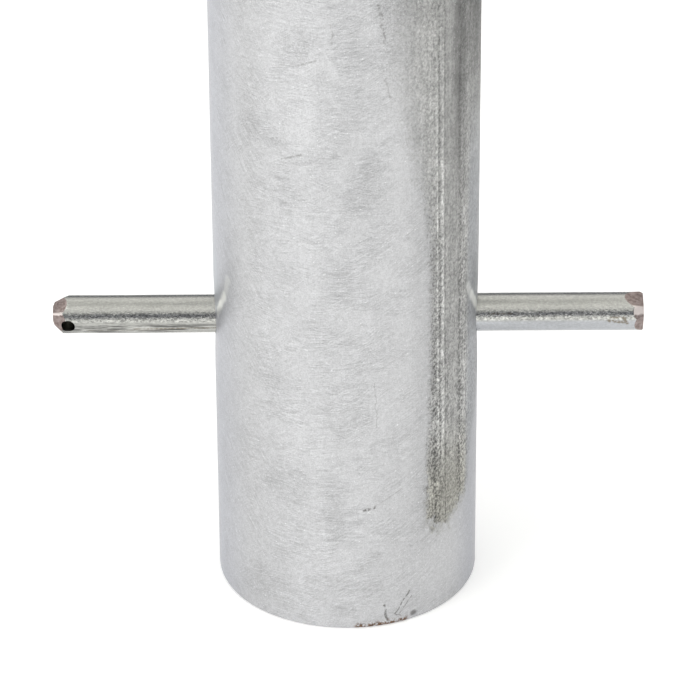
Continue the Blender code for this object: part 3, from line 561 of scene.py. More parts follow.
def galvanised_tube_material():
    """The ground tube's skin: cloudy zinc with painted shade and glints, a painted bluish reflection towards
    its sides, a rough dark run along the seam, painted highlights and shade beside the rod's holes, and marks
    at the foot.
    """
    g = Graph("galvanised_tube")
    across, up = wrapped(g, TUBE_RADIUS)
    clouds = g.noise(11, 3, 0.5, stretch=(1, 1, 0.22))
    grain = zinc_grain(g)
    value = g.band(clouds, 0.3, 0.7, 0.97, 1.03) * g.band(grain, 0.33, 0.67, 0.84, 1.13)
    # Painted shade round the tube.
    value *= painted_tube_shade(g, across, up, grain)
    value, height = brushed(g, across, up, value, grain * 0.8)
    for at, reach, strength in SMUDGES:
        smudge = patch_mark(g, across, up, at, reach, 0.6) * g.band(grain, 0.7, 0.35, 0.5, 1.5)
        value *= 1 - smudge * strength
    for at, reach, strength in PALE_CLOUDS:
        value *= 1 + patch_mark(g, across, up, at, reach, 0.7) * strength
    # Painted glints: a few tiny bright points in the zinc.
    value += painted_glints(g, 0.8, 0.05) * 0.34
    colour = g.tinted(GALVANISED_TONE, value)
    # Painted reflection: a bluish tint towards both sides of the tube.
    sides = g.band(across, -34, -60) + g.band(across, 38, 60)
    bluish_reflection = g.blend(1.0, colour, (0.97, 0.985, 1.05), mode="MULTIPLY")
    colour = g.blend(sides * 0.8, colour, bluish_reflection)

    run = seam_run(g, across, up)
    grit = g.noise(0.8, 3, 0.75, stretch=(1, 1, 0.8), seed=11.0)
    colour = g.blend(run, colour, run_tones(g, across, up, grit))
    height += run * grit * 4.0
    colour, roughness = painted_dish_highlights(g, across, up, colour, g.band(run, 0, 1, 0.42, 0.58))
    colour = foot_marks(g, across, up, colour)
    return g.finish(colour, roughness, 0.9, g.bump(height, 0.10))


# Painted highlights: bright streaks where the wall turns inwards beside the rod, as (distance round, height)
# points
DISH_HIGHLIGHTS = (
    ((-58.5, 104.5), (-54.0, 110.0), (-50.5, 115.0), (-47.5, 122.5)),
    ((64.0, 102.5), (58.0, 108.7), (53.8, 113.5), (50.4, 118.5)),
)
DISH_HIGHLIGHT_STRENGTH = (0.9, 0.8, 0.4)


def painted_dish_highlights(g, across, up, colour, roughness):
    """Paints highlights along the creases of the pressed-in wall and makes them smoother, and paints shade on
    the zinc behind them.
    """
    # Painted shade beside the rod's holes: darker and bluish on the left, dark grey on the right.
    left_hole_shade = patch_mark(g, across, up, (-62.5, 116), (6.5, 13), 0.5)
    right_hole_shade = patch_mark(g, across, up, (57.5, 119.5), (3.0, 7.0), 0.6)
    smooth = g.blend(1.0, GALVANISED_TONE, (0.80, 0.84, 0.88), mode="MULTIPLY")
    colour = g.blend(left_hole_shade * 0.75, colour, smooth)
    colour = g.blend(right_hole_shade * 0.55, colour, (0.27, 0.28, 0.29))
    # Painted highlights: near-white streaks along the creases, which are also less rough.
    place = across + g.wavy(4, 2, 0.5, 31.0, 1.6)
    for points in DISH_HIGHLIGHTS:
        for start, end, strength in zip(points, points[1:], DISH_HIGHLIGHT_STRENGTH):
            highlight_line = line_mark(g, place, up, start, end, 2.4)
            colour = g.blend(highlight_line * strength, colour, (0.96, 0.97, 0.95))
            roughness = g.blend(highlight_line * 0.6, roughness, (0.3, 0.3, 0.3))
    return colour, roughness


# Scratches and dark marks on the tube: start and end as (distance round, height), half width, how dark
SCRATCHES = (
    ((16.1, 3.3), (21.7, 11.8), 0.40, 0.75),
    ((18.0, 3.6), (22.6, 9.4), 0.30, 0.6),
    ((12.4, 8.0), (13.6, 1.4), 0.60, 0.8),
    ((14.6, 4.6), (18.6, 2.6), 0.40, 0.6),
    ((7.8, 47.2), (19.5, 53.5), 0.25, 0.30),
    ((5.9, 46.9), (9.4, 47.6), 0.75, 0.85),
    ((9.3, 95.6), (9.9, 77.3), 0.30, 0.30),
    ((10.9, 232.0), (13.2, 219.0), 0.90, 0.50),
    ((-4.6, 226.0), (-4.2, 219.0), 0.50, 0.35),
    ((-21.0, 176.5), (-14.5, 179.0), 0.60, 0.40),
    ((13.0, 206.0), (14.4, 199.0), 0.50, 0.30),
    ((-16.5, 210.0), (-9.0, 213.0), 0.45, 0.35),
)


def foot_marks(g, across, up, colour):
    """Scratches, a chip and rust specks low on the front of the tube."""
    bent = g.wavy(3.0, 3, 0.6, 51.0, 3.0)
    broken = g.band(g.noise(1.2, 3, 0.7, seed=52.0), 0.36, 0.54)
    for start, end, width, dark in SCRATCHES:
        line = line_mark(g, across + bent, up + bent * 0.6, start, end, width)
        colour = g.blend(line * broken * dark, colour, (0.13, 0.125, 0.115))
    speckle = g.noise(0.9, 3, 0.6, seed=41.0)
    rim = near_front(g, across, 2.5, 21.0, 1.0) * g.band(up, 3.0, 0.6)
    rust = rim * g.band(speckle + g.band(up, 3.0, 0.0) * 0.13, 0.53, 0.59)
    tone = g.blend(g.band(g.noise(0.5, 2, seed=44.0), 0.4, 0.6), (0.085, 0.045, 0.025), (0.23, 0.13, 0.07))
    colour = g.blend(rust, colour, tone)
    chip = patch_mark(g, across, up, (23.4, 2.4), (1.3, 0.9), 0.6)
    return g.blend(chip * 0.8, colour, (0.14, 0.135, 0.13))


# Stains on the anchor rod, as (distance along it from the middle, distance round from the front)
# points, half width and strength
ROD_STAINS = (
    ((-72.0, -2.6), (-42.0, -2.2), 0.45, 0.75),
    ((-88.0, -3.4), (-60.0, -3.3), 0.30, 0.5),
    ((-62.0, -4.2), (-43.0, -4.0), 0.30, 0.4),
    ((87.5, -0.2), (92.5, -0.9), 0.9, 0.8),
    ((88.0, 1.0), (91.5, 1.1), 0.6, 0.7),
    ((92.5, 0.9), (93.8, -1.4), 0.9, 0.8),
    ((47.0, 2.6), (55.0, 2.5), 0.5, 0.6),
)


def zinc_plated_bar_material():
    """Bright zinc plating on a drawn bar: grainy, with lengthwise dull streaks, a few stains, painted shade
    along its lower side and painted shade in the tie hole.
    """
    g = Graph("zinc_plated_bar")
    x, y, z = g.axes()
    along = x - ROD_MIDDLE.x / MM
    up = z - ROD_MIDDLE.z / MM
    around = g.math("ARCTAN2", up, -y) * (ROD_RADIUS / MM)
    grain = g.noise(0.55, 3, 0.7, stretch=(0.55, 1, 1))
    drawn = g.noise(0.8, 3, 0.6, stretch=(0.07, 1, 1), seed=2.0)
    clouds = g.noise(5, 3, 0.5, stretch=(0.4, 1, 1), seed=6.0)
    value = g.band(grain, 0.3, 0.7, 0.88, 1.09) * g.band(clouds, 0.3, 0.7, 0.95, 1.04)
    value *= g.band(drawn, 0.35, 0.65, 0.95, 1.03)
    fleck = g.band(g.noise(0.6, 3, 0.7, stretch=(0.7, 1, 1), seed=23.0), 0.36, 0.62, 0.60, 1.50)
    flecked = g.band(around, -0.4, 0.8) * g.band(around, 4.4, 2.6)
    value *= g.blend(flecked, (1, 1, 1), g.vector(fleck, fleck, fleck))
    value *= 1 + flecked * g.band(along, 10, 30) * 0.12
    # Painted shade: the rod darker along its lower side.
    underside_shade = g.band(around, -5.2, -6.6) * g.band(around, -9.5, -8.0)
    value *= 1 - underside_shade * 0.5
    dull_end = g.band(around, 0.5, -1.8) * g.band(along, -30, -50)
    value *= 1 - dull_end * g.band(drawn, 0.58, 0.42, -0.2, 0.7)
    cool = g.band(around, 0.8, -0.8) * g.band(along, -20, 20)
    value *= 1 + cool * 0.09
    colour = g.tinted(g.blend(cool, (0.425, 0.425, 0.405), (0.415, 0.425, 0.445)), value)
    blotch = g.band(g.noise(0.8, 3, 0.6, seed=8.0), 0.38, 0.56)
    for start, end, width, strength in ROD_STAINS:
        stain = line_mark(g, along, around, start, end, width)
        colour = g.blend(stain * blotch * strength, colour, (0.17, 0.135, 0.085))
    # Painted shade: the wall of the tie hole nearly black.
    colour = g.blend(tie_hole_shade(g, along, y, up) * 0.85, colour, (0.07, 0.066, 0.05))
    pitted = g.noise(0.55, 3, 0.75, stretch=(0.7, 1, 1), seed=17.0)
    relief = pitted * 1.6 + drawn * 0.4
    return g.finish(colour, g.band(clouds, 0.3, 0.7, 0.17, 0.26), 1.0, g.bump(relief, 0.055))


def tie_hole_shade(g, along, y, up):
    """1 on the wall of the tie hole, where shade is painted nearly black."""
    out = g.math("SQRT", y * y + up * up)
    left_end = -ROD_LENGTH / 2 / MM
    return g.band(out, 6.2, 5.2) * g.band(along, left_end + 2, left_end + 3)


def zinc_plated_material():
    """Bright zinc plating on turned and punched parts."""
    g = Graph("bright_zinc")
    grain = g.noise(0.6, 3, 0.6)
    clouds = g.noise(6, 3, 0.5, seed=2.0)
    value = g.band(grain, 0.25, 0.75, 0.9, 1.06) * g.band(clouds, 0.3, 0.7, 0.93, 1.05)
    colour = g.tinted((0.54, 0.54, 0.51), value)
    return g.finish(colour, g.band(clouds, 0.3, 0.7, 0.24, 0.34), 1.0, g.bump(grain, 0.02))


def sheared_steel_material():
    """Bare steel on the rod's sheared ends: brown-grey, torn and dull, with a painted highlight along the
    crest between the facets.
    """
    g = Graph("sheared_steel")
    x, y, z = g.axes()
    angle = g.math("ARCTAN2", z - ROD_MIDDLE.z / MM, -y)
    torn = g.noise(0.9, 4, 0.7, stretch=(0.6, 1, 1))
    colour = g.blend(g.band(torn, 0.3, 0.7), (0.16, 0.115, 0.105), (0.40, 0.335, 0.32))
    # Painted highlight: a pale band along the crest 30 degrees above the front, wider on the right end.
    half_width = g.band(x, -10, 10, 0.12, 0.36)
    off_crest = abs(angle - math.radians(30) + (torn - 0.5) * 0.25)
    crest_highlight = 1 - g.band(off_crest, half_width * 0.5, half_width)
    colour = g.blend(crest_highlight * 0.9, colour, (0.88, 0.8, 0.77))
    return g.finish(colour, 0.48, 0.7, g.bump(torn, 0.12))


def plain_metal(name, tone, roughness, grain_size=0.6, relief=0.03):
    """A machined or cast metal with fine grain and faint clouds."""
    g = Graph(name)
    grain = g.noise(grain_size, 3, 0.6)
    clouds = g.noise(12, 3, 0.5, seed=4.0)
    value = g.band(grain, 0.25, 0.75, 0.93, 1.05) * g.band(clouds, 0.3, 0.7, 0.94, 1.04)
    colour = g.tinted(tone, value)
    rough = g.band(clouds, 0.3, 0.7, roughness * 0.85, roughness * 1.15)
    return g.finish(colour, rough, 1.0, g.bump(grain, relief))


def soft_black(name, tone, roughness, grain_size):
    """Nylon or rubber: nearly black, with a fine matte grain and a little dust."""
    g = Graph(name)
    grain = g.noise(grain_size, 3, 0.6)
    dust = g.band(g.noise(9, 3, seed=6.0), 0.5, 0.75)
    colour = g.blend(dust * 0.25, tone, tuple((c * 2.4 for c in tone)))
    rough = g.band(grain, 0.3, 0.7, roughness * 0.9, roughness * 1.1)
    return g.finish(colour, rough, 0.0, g.bump(grain, 0.03))


def reflective_film_material():
    """Red retroreflective film: small bright diamonds between darker lines."""
    g = Graph("red_reflective_film")
    across, up = wrapped(g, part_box("reflective_band_lower")[1].x)
    diamonds = g.vector(across + up, across - up)
    cell = g.band(g.cells(4.4, "DISTANCE_TO_EDGE", diamonds, randomness=0.0), 0.01, 0.06)
    colour = g.blend(cell, (0.30, 0.006, 0.008), (0.62, 0.015, 0.02))
    return g.finish(colour, g.band(cell, 0, 1, 0.45, 0.25), 0.1, g.bump(cell, 0.02), Coat_Weight=0.6)


# ---------------------------------------------------------------- screws


# Countersunk socket screws in mm: head radius and depth, shank radius, length, socket radius and depth
M4_SCREW = (4.0, 2.2, 1.95, 5.6, 1.4, 1.4)
M5_SCREW = (4.6, 2.6, 2.45, 10.0, 1.7, 1.8)
M5_LONG_SCREW = (4.6, 2.6, 2.45, 15.0, 1.7, 1.8)
M6_SCREW = (5.5, 2.9, 2.95, 10.5, 2.2, 2.0)

# Screws that point at the tube's axis: name, size, directions round it from +X, depth of the head
# below the wall it sits in
TUBE_SCREWS = (("ring_screw", M6_SCREW, (30, 150, 270), 0.5), ("rail_screw", M4_SCREW, (90, 90, 90), 0.4))
CAP_SCREWS = (("cap_screw", M5_SCREW, (90, 210, 330), 0.5),)
POST_SCREWS = (
    *CAP_SCREWS,
    ("housing_screw", M5_SCREW, (90, 270), 0.5),
    ("cover_screw", M5_SCREW, (90, 270), 0.5),
)
SHOE_SCREWS = (("shoe_screw", M5_LONG_SCREW, (30, 150, 270), 0.8),)


def screw_places(group, wall_radius):
    """Each screw's name, size, head position and turn."""
    places = []
    for name, size, degrees, depth in group:
        for number, degree in enumerate(degrees, 1):
            node = f"{name}_{number}"
            low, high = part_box(node)
            angle = math.radians(degree)
            reach = wall_radius - depth * MM
            at = (reach * math.cos(angle), reach * math.sin(angle), (low.z + high.z) / 2)
            places.append((node, size, at, (0, QUARTER_TURN, angle)))
    return places


def tube_screw_places():
    return screw_places(TUBE_SCREWS, TUBE_RADIUS)


def post_screw_places():
    return screw_places(POST_SCREWS, POST_RADIUS)


def shoe_screw_places():
    return screw_places(SHOE_SCREWS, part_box("guide_shoe")[1].x)


def retainer_screw_places():
    """The four upright screws of the retainer ring, in the same form."""
    places = []
    for number in range(1, 5):
        node = f"retainer_screw_{number}"
        low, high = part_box(node)
        places.append((node, M5_LONG_SCREW, ((low.x + high.x) / 2, (low.y + high.y) / 2, high.z), (0, 0, 0)))
    return places


def screw_holes(places):
    """The holes of screws at their places: a countersink and a straight shank hole for each."""
    holes = []
    for _, size, at, turn in places:
        head, head_depth, shank, length, *_ = (value * MM for value in size)
        above = 4 * MM
        profile = [(0, -length - GAP), (shank + GAP, -length - GAP), (shank + GAP, -head_depth)]
        profile += [(head + GAP, 0), (head + GAP, above), (0, above)]
        holes.append(placed(turned(profile, SMALL_SEGMENTS), at, turn))
    return holes


def screw_mesh(size):
    """A countersunk screw about Z with its head's top on z = 0, and threads on its shank."""
    head, head_depth, shank, length, *_ = (value * MM for value in size)
    pitch, thread_depth = 0.7 * MM, 0.25 * MM
    profile = [(0, -length), (shank - 0.3 * MM, -length)]
    z = -length + 0.3 * MM
    while z < -head_depth - 0.8 * MM:
        profile += [(shank, z), (shank - thread_depth, z + pitch / 2)]
        z += pitch
    profile += [(shank - 0.1 * MM, -head_depth), (head - 0.15 * MM, -0.2 * MM), (head, -0.1 * MM)]
    profile += [(head - 0.1 * MM, 0), (0, 0)]
    return turned(profile, SMALL_SEGMENTS)


def build_screw(node, size, at, turn, material):
    """A socket screw with a hexagonal recess, in a CAD screw's place."""
    screw = make_object(f"{node}_shape", screw_mesh(size), 30)
    socket, socket_depth = size[4] * MM, size[5] * MM
    hexagon = extruded(arc((0, 0), socket, 0, 300, 5), -socket_depth, MM)
    above, below = 0.1 * MM, -0.25 * MM
    bevel = turned([(0, below), (socket * 0.9, below), (socket * 1.15, above), (0, above)], 24)
    cut(screw, hexagon, bevel)
    screw.data.transform(Matrix.Translation(at) @ Euler(turn).to_matrix().to_4x4())
    stands_for(screw, node, material)


def build_screws(materials):
    for places in (tube_screw_places(), post_screw_places(), shoe_screw_places(), retainer_screw_places()):
        for place in places:
            build_screw(*place, materials["stainless_steel"])


# ---------------------------------------------------------------- ground tube

# The part of the tube's wall, in radians round it, whose mesh is fine enough for the seam's relief
SEAM_FROM, SEAM_TO = math.radians(22), math.radians(92)


def pressed_in(y, z):
    """How far the wall is pressed in round the rod's hole."""
    distance = math.hypot(y, z - ROD_MIDDLE.z)
    if distance >= DISH_RADIUS:
        return 0.0
    return DISH_DEPTH * (0.5 + 0.5 * math.cos(math.pi * distance / DISH_RADIUS))


def bell(value, centre, half_width):
    return math.exp(-(((value - centre) / half_width) ** 2))


def ramp(value, start, length):
    """0 before the start and 1 after the length, with a straight slope between."""
    return min(1.0, max(0.0, (value - start) / length))


def seam_relief(angle, z):
    """Height of the zinc run over the tube's seam: lines and grooves up the tube, and lumps."""
    across, up = angle * TUBE_RADIUS / MM, z / MM
    ragged = noise.noise((across * 0.12, 0.0, up * 0.05)) * 3.0
    wide = ramp(up, 130, 90)
    left, right = 29.0 - 8.0 * wide, 50.0 + 18.0 * wide
    rise = ramp(across + ragged, left, 2.5) * ramp(-across - ragged, -right, 2.5)
    ended = ramp(up + ragged * 3, RUN_END, 8.0)
    lumps = noise.fractal((across * 0.8, 3.0, up * 0.3), 0.9, 2.0, 4)
    leaning = across + (up - RUN_LEAN_FROM) * RUN_LEAN
    lines = sum(bell(leaning, centre, width) for centre, width in RUN_LINES) * ramp(up, 50, 30)
    grooves = sum(bell(leaning, centre, width) for centre, width, high_share in RUN_GROOVES)
    return rise * ended * (0.06 + 0.10 * lumps + 0.20 * lines - 0.12 * grooves) * MM


def tube_row(mesh, angles, radius, z, skin):
    """One ring of the tube's wall, pressed in round the rod's holes. The skin also has its relief."""
    verts = []
    for a in angles:
        x, y = radius * math.sin(a), -radius * math.cos(a)
        if skin:
            out = seam_relief(a, z) if SEAM_FROM < a < SEAM_TO and z > 15 * MM else 0.0
            out += 0.04 * MM * noise.noise((x * 60, y * 60, z * 45))
            scale = 1 + min(out, 0.35 * MM) / radius
            x, y = x * scale, y * scale
        if math.hypot(y, z - ROD_MIDDLE.z) < DISH_RADIUS:
            x -= math.copysign(pressed_in(y, z), x)
        verts.append(mesh.verts.new((x, y, z)))
    return verts


def rim_ease(z):
    """How far the wall draws back at the softened lower rim."""
    return 0.45 * MM * max(0.0, 1 - z / (1.2 * MM)) ** 2


def ground_tube_mesh():
    """The tube as closely spaced rows and columns, closest at the seam and near the foot."""
    at_seam = np.linspace(SEAM_FROM, SEAM_TO, 160, endpoint=False)
    elsewhere = np.linspace(SEAM_TO, SEAM_FROM + math.tau, 190, endpoint=False)
    angles = np.concatenate([at_seam, elsewhere])
    fine_top, inner_top = 250 * MM, 130 * MM
    heights = [0.0, 0.12 * MM, 0.35 * MM, 0.7 * MM, 1.2 * MM]
    heights += [*np.arange(2 * MM, fine_top, 1.0 * MM), *np.linspace(fine_top, TUBE_HIGH.z, 140)]
    inner_heights = [TUBE_HIGH.z, *np.linspace(TUBE_HIGH.z - 10 * MM, inner_top, 40)]
    inner_heights += [*np.arange(125 * MM, 5 * MM, -3 * MM), 1.0 * MM, 0.3 * MM, 0.0]
    mesh = bmesh.new()
    rows = [tube_row(mesh, angles, TUBE_RADIUS - rim_ease(z), z, True) for z in heights]
    rows += [tube_row(mesh, angles, TUBE_BORE + rim_ease(z), z, False) for z in inner_heights]
    bridge(mesh, [*rows, rows[0]])
    return mesh


def build_ground_tube(materials):
    tube = make_object("ground_tube_skin", ground_tube_mesh(), 50)
    reach = TUBE_RADIUS + 10 * MM
    hole = cylinder(ROD_HOLE_RADIUS, -reach, reach, 72)
    rod_hole = placed(hole, (0, 0, ROD_MIDDLE.z), (0, QUARTER_TURN, 0))
    cut(tube, rod_hole, *screw_holes(tube_screw_places()))
    stands_for(tube, "ground_tube", materials["galvanised_tube"])


# ---------------------------------------------------------------- anchor rod


# Facets sheared on the rod's two ends: direction in degrees from the front upwards, length and
# depth in mm, and whether the plating still covers it
LEFT_FACETS = (
    (120, 5.5, 2.7, True),
    (120, 1.6, 3.8, False),
    (-55, 1.3, 4.0, False),
    (62, 4.9, 3.0, False),
    (2, 4.4, 3.0, False),
    (-55, 3.4, 3.2, False),
    (-115, 3.6, 3.0, False),
    (178, 5.0, 2.8, False),
)
RIGHT_FACETS = (
    (75, 6.5, 2.4, False),
    (25, 3.6, 1.9, False),
    (-20, 3.2, 2.2, False),
    (-110, 3.0, 2.0, False),
    (165, 5.0, 2.2, False),
)
END_WEAR = 0.6 * MM
TIE_HOLE_INSET = 5.8 * MM
TIE_HOLE_RADIUS = 2.3 * MM


def rod_mesh():
    """A round bar about X with a slightly uneven skin."""
    steps, sides = 220, 72
    unevenness = 0.035 * MM
    rings = []
    mesh = bmesh.new()
    for i in range(steps + 1):
        x = (ROD_LENGTH - 2 * END_WEAR) * (i / steps - 0.5)
        ring = []
        for k in range(sides):
            a = math.tau * k / sides
            dent = unevenness * noise.noise((x * 60, math.cos(a) * 1.3, math.sin(a) * 1.3))
            r = ROD_RADIUS - 0.03 * MM + dent
            ring.append(mesh.verts.new((x, r * math.cos(a), r * math.sin(a))))
        rings.append(ring)
    bridge(mesh, rings, capped=True)
    for face in mesh.faces:
        if abs(face.normal.x) > 0.9:
            face.material_index = 1
    return mesh


def shear_end(mesh, side, facets):
    """Cuts the bar's end on side -1 or 1 to flat facets."""
    for degree, length, depth, plated in facets:
        angle = math.radians(degree)
        outward = Vector((0, -math.cos(angle), math.sin(angle)))
        along = Vector((side, 0, 0))
        bmesh.ops.bisect_plane(
            mesh,
            geom=mesh.verts[:] + mesh.edges[:] + mesh.faces[:],
            plane_co=along * (ROD_LENGTH / 2 - END_WEAR) + outward * (ROD_RADIUS - depth * MM),
            plane_no=along * depth + outward * length,
            clear_outer=True,
        )
        filled = bmesh.ops.holes_fill(mesh, edges=mesh.edges)
        for face in filled["faces"]:
            face.material_index = 0 if plated else 1


def build_anchor_rod(materials):
    mesh = rod_mesh()
    shear_end(mesh, -1, LEFT_FACETS)
    shear_end(mesh, 1, RIGHT_FACETS)
    rod = make_object("anchor_rod_bar", placed(mesh, ROD_MIDDLE), 20)
    rod.data.materials.append(materials["zinc_plated_bar"])
    rod.data.materials.append(materials["sheared_steel"])
    hole_at = Vector((ROD_LOW.x + TIE_HOLE_INSET, 0, ROD_MIDDLE.z))
    hole = cylinder(TIE_HOLE_RADIUS, -10 * MM, 10 * MM)
    cut(rod, placed(hole, hole_at, (math.radians(102), 0, 0)))
    stands_for(rod, "anchor_rod", materials["zinc_plated_bar"])


# ---------------------------------------------------------------- frame and bush

BEAD_RIPPLES = 150
BEAD_LEG = 5 * MM


def ring_shape(node, radii, material, edge=0.5 * MM, name="shape"):
    """A plain ring with softened edges that fills the height of a CAD ring."""
    inner, outer = radii
    bottom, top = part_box(node)[0].z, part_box(node)[1].z
    outline = [(inner, bottom), (outer, bottom), (outer, top), (inner, top)]
    ring = make_object(f"{node}_{name}", turned(rounded(outline, edge)))
    return stands_for(ring, node, material)


def bead_profile(leg, wander, turn):
    """(out, along) points of a weld bead's section: two straight legs and a scalloped, swollen face."""
    points = [(0.0, 0.0)]
    steps = 8
    for step in range(steps + 1):
        t = step / steps
        sweep = math.sin(math.pi * t)
        phase = (turn * BEAD_RIPPLES + 0.22 * sweep) % 1.0
        scallop = 0.22 * MM * abs(math.sin(math.pi * phase)) * sweep
        swell = (0.16 * leg + wander * 0.5) * sweep
        reach = leg - 0.35 * MM + min(0.0, wander)
        bulge = (swell - scallop) * 0.7
        points.append((reach * (1 - t) + bulge, reach * t + bulge))
    return points


def bead_mesh(corner, leg, down):
    """A rippled weld bead in the corner of a wall of the corner's radius and a level face."""
    columns = 900
    direction = -1 if down else 1
    radius, level = corner
    mesh = bmesh.new()
    rings = []
    for k in range(columns):
        a = math.tau * k / columns
        wander = 0.35 * MM * noise.noise((math.cos(a) * 6, math.sin(a) * 6, level * 40))
        points = bead_profile(leg, wander, k / columns)
        ring = []
        for out, along in points:
            at = ((radius + out) * math.cos(a), (radius + out) * math.sin(a), level + direction * along)
            ring.append(mesh.verts.new(at))
        rings.append(ring)
    bridge(mesh, [*rings, rings[0]])
    return mesh


def turned_piece(node, outline, edge, material):
    """A turned solid with softened edges, in a CAD node's place."""
    return stands_for(make_object(f"{node}_shape", turned(rounded(outline, edge))), node, material)


def build_frame(materials):
    """The plate and the ring at paving level, and the welds that join them to the tube."""
    zinc = materials["galvanised_steel"]
    plate_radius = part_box("frame_plate")[1].x
    cap_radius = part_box("head_cap")[1].x
    frame_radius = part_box("frame_ring")[1].x
    ring_shape("frame_plate", (TUBE_BORE, plate_radius), zinc, 1.2 * MM)
    ring_shape("frame_ring", (cap_radius + 0.5 * MM, frame_radius), zinc, 1.0 * MM)
    under_plate = (TUBE_RADIUS + 0.1 * MM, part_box("tube_weld")[1].z)
    on_plate = (frame_radius + 0.1 * MM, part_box("ring_weld")[0].z)
    for node, corner, down in (("tube_weld", under_plate, True), ("ring_weld", on_plate, False)):
        bead = make_object(f"{node}_bead", bead_mesh(corner, BEAD_LEG, down), 60)
        stands_for(bead, node, zinc)


def build_guide(materials):
    """The bush and the seal that the post slides in, the ring that holds them, and the lock ring."""
    bush_low, bush_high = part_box("guide_bush")
    sleeve_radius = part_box("lock_ring")[1].x
    flange, pocket, pocket_depth = 4.6 * MM, 36.3 * MM, 3.5 * MM
    hole = POST_RADIUS + GAP
    bush_outline = [
        (hole, bush_low.z),
        (sleeve_radius, bush_low.z),
        (sleeve_radius, bush_high.z - flange),
        (bush_high.x, bush_high.z - flange),
        (bush_high.x, bush_high.z),
        (pocket, bush_high.z),
        (pocket, bush_high.z - pocket_depth),
        (hole, bush_high.z - pocket_depth),
    ]
    bush = turned_piece("guide_bush", bush_outline, 0.6 * MM, materials["black_nylon"])

    seal_low, seal_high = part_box("wiper_seal")
    lip = 1.2 * MM
    lip_radius = POST_RADIUS + 0.2 * MM
    seal_outline = [
        (lip_radius, seal_low.z + lip),
        (lip_radius + lip, seal_low.z),
        (seal_high.x, seal_low.z),
        (seal_high.x, seal_high.z),
        (lip_radius + lip, seal_high.z),
    ]
    turned_piece("wiper_seal", seal_outline, 0.25 * MM, materials["black_rubber"])

    retainer_radii = (33 * MM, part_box("retainer_ring")[1].x)
    retainer = ring_shape("retainer_ring", retainer_radii, materials["stainless_steel"])
    for piece in (retainer, bush):
        cut(piece, *screw_holes(retainer_screw_places()))
    ring_shape("lock_ring", (POST_RADIUS + 0.5 * MM, sleeve_radius), materials["bright_zinc"])


# ---------------------------------------------------------------- post


def build_post(materials):
    """The post tube with its two bands of film."""
    low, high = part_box("post_tube")
    bands = [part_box(node) for node in ("reflective_band_lower", "reflective_band_upper")]
    groove = POST_RADIUS - 0.8 * MM
    outline = [(POST_BORE, low.z), (POST_RADIUS, low.z)]
    for band_low, band_high in bands:
        bottom, top = band_low.z - GAP, band_high.z + GAP
        outline += [(POST_RADIUS, bottom), (groove, bottom), (groove, top), (POST_RADIUS, top)]
    outline += [(POST_RADIUS, high.z), (POST_BORE, high.z)]
    post = make_object("post_tube_shape", turned(rounded(outline, 0.25 * MM)))
    bolt_low, bolt_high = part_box("lock_bolt_right")
    reach = POST_RADIUS + MM
    slot = cuboid((-reach, bolt_low.y - GAP, bolt_low.z - GAP), (reach, bolt_high.y + GAP, bolt_high.z + GAP))
    cut(post, slot, *screw_holes(post_screw_places()))
    stands_for(post, "post_tube", materials["galvanised_steel"])
    for node in ("reflective_band_upper", "reflective_band_lower"):
        radii = (POST_RADIUS - 0.65 * MM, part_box(node)[1].x)
        ring_shape(node, radii, materials["red_reflective_film"], 0.1 * MM, "film")


def build_guide_shoe(materials):
    """The nylon ring on the post's foot, with room for the guide rail."""
    low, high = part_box("guide_shoe")
    inside, lip = 20 * MM, 5 * MM
    hole = POST_RADIUS + GAP
    outline = [
        (inside, low.z),
        (high.x, low.z),
        (high.x, high.z),
        (hole, high.z),
        (hole, low.z + lip),
        (inside, low.z + lip),
    ]
    shoe = make_object("guide_shoe_shape", turned(rounded(outline, 1.2 * MM)))
    half_width, rail_from, rail_to = 4.5 * MM, 37.3 * MM, 50 * MM
    rail_room = cuboid((-half_width, rail_from, low.z - MM), (half_width, rail_to, high.z + MM))
    cut(shoe, rail_room, *screw_holes(shoe_screw_places()))
    stands_for(shoe, "guide_shoe", materials["black_nylon"])


# ---------------------------------------------------------------- head


# Sizes in the head cap: the handle's path, the flap and its hinge, and the finger pocket
HANDLE_RADIUS = 3.3 * MM
HANDLE_HALF_WIDTH = 30 * MM
HANDLE_BEND_Y = -6 * MM
HANDLE_CORNER = 5 * MM
HANDLE_STUB_END = 38.5 * MM
GROOVE_HALF_WIDTH = 4.2 * MM
FLAP_RADIUS = 17.2 * MM
FLAP_THICKNESS = 2.2 * MM
KNUCKLE_RADIUS = 2.2 * MM
KNUCKLE_HALF_WIDTH = 6.4 * MM
FLAP_PIN_RADIUS = 1.25 * MM
LOCK_BODY_RADIUS = 14.6 * MM


def hinge_point(body):
    """A point on the axis of the hinge that carries a body."""
    joints = frame["record"]["behaviour"]["joints"]
    joint = next(j for j in joints if j["child"] == body)
    return Vector(joint["pos_m"])


def handle_outline(pivot_y, half_width):
    """The closed outline of the groove that the handle lies in."""
    outer, inner = HANDLE_HALF_WIDTH + half_width, HANDLE_HALF_WIDTH - half_width
    back = pivot_y + half_width
    centre = (0, HANDLE_BEND_Y)
    outside = arc(centre, outer, 0, -180, 72)
    inside = arc(centre, inner, -180, 0, 72)
    return [(outer, back), *outside, (-outer, back), (-inner, back), *inside, (inner, back)]


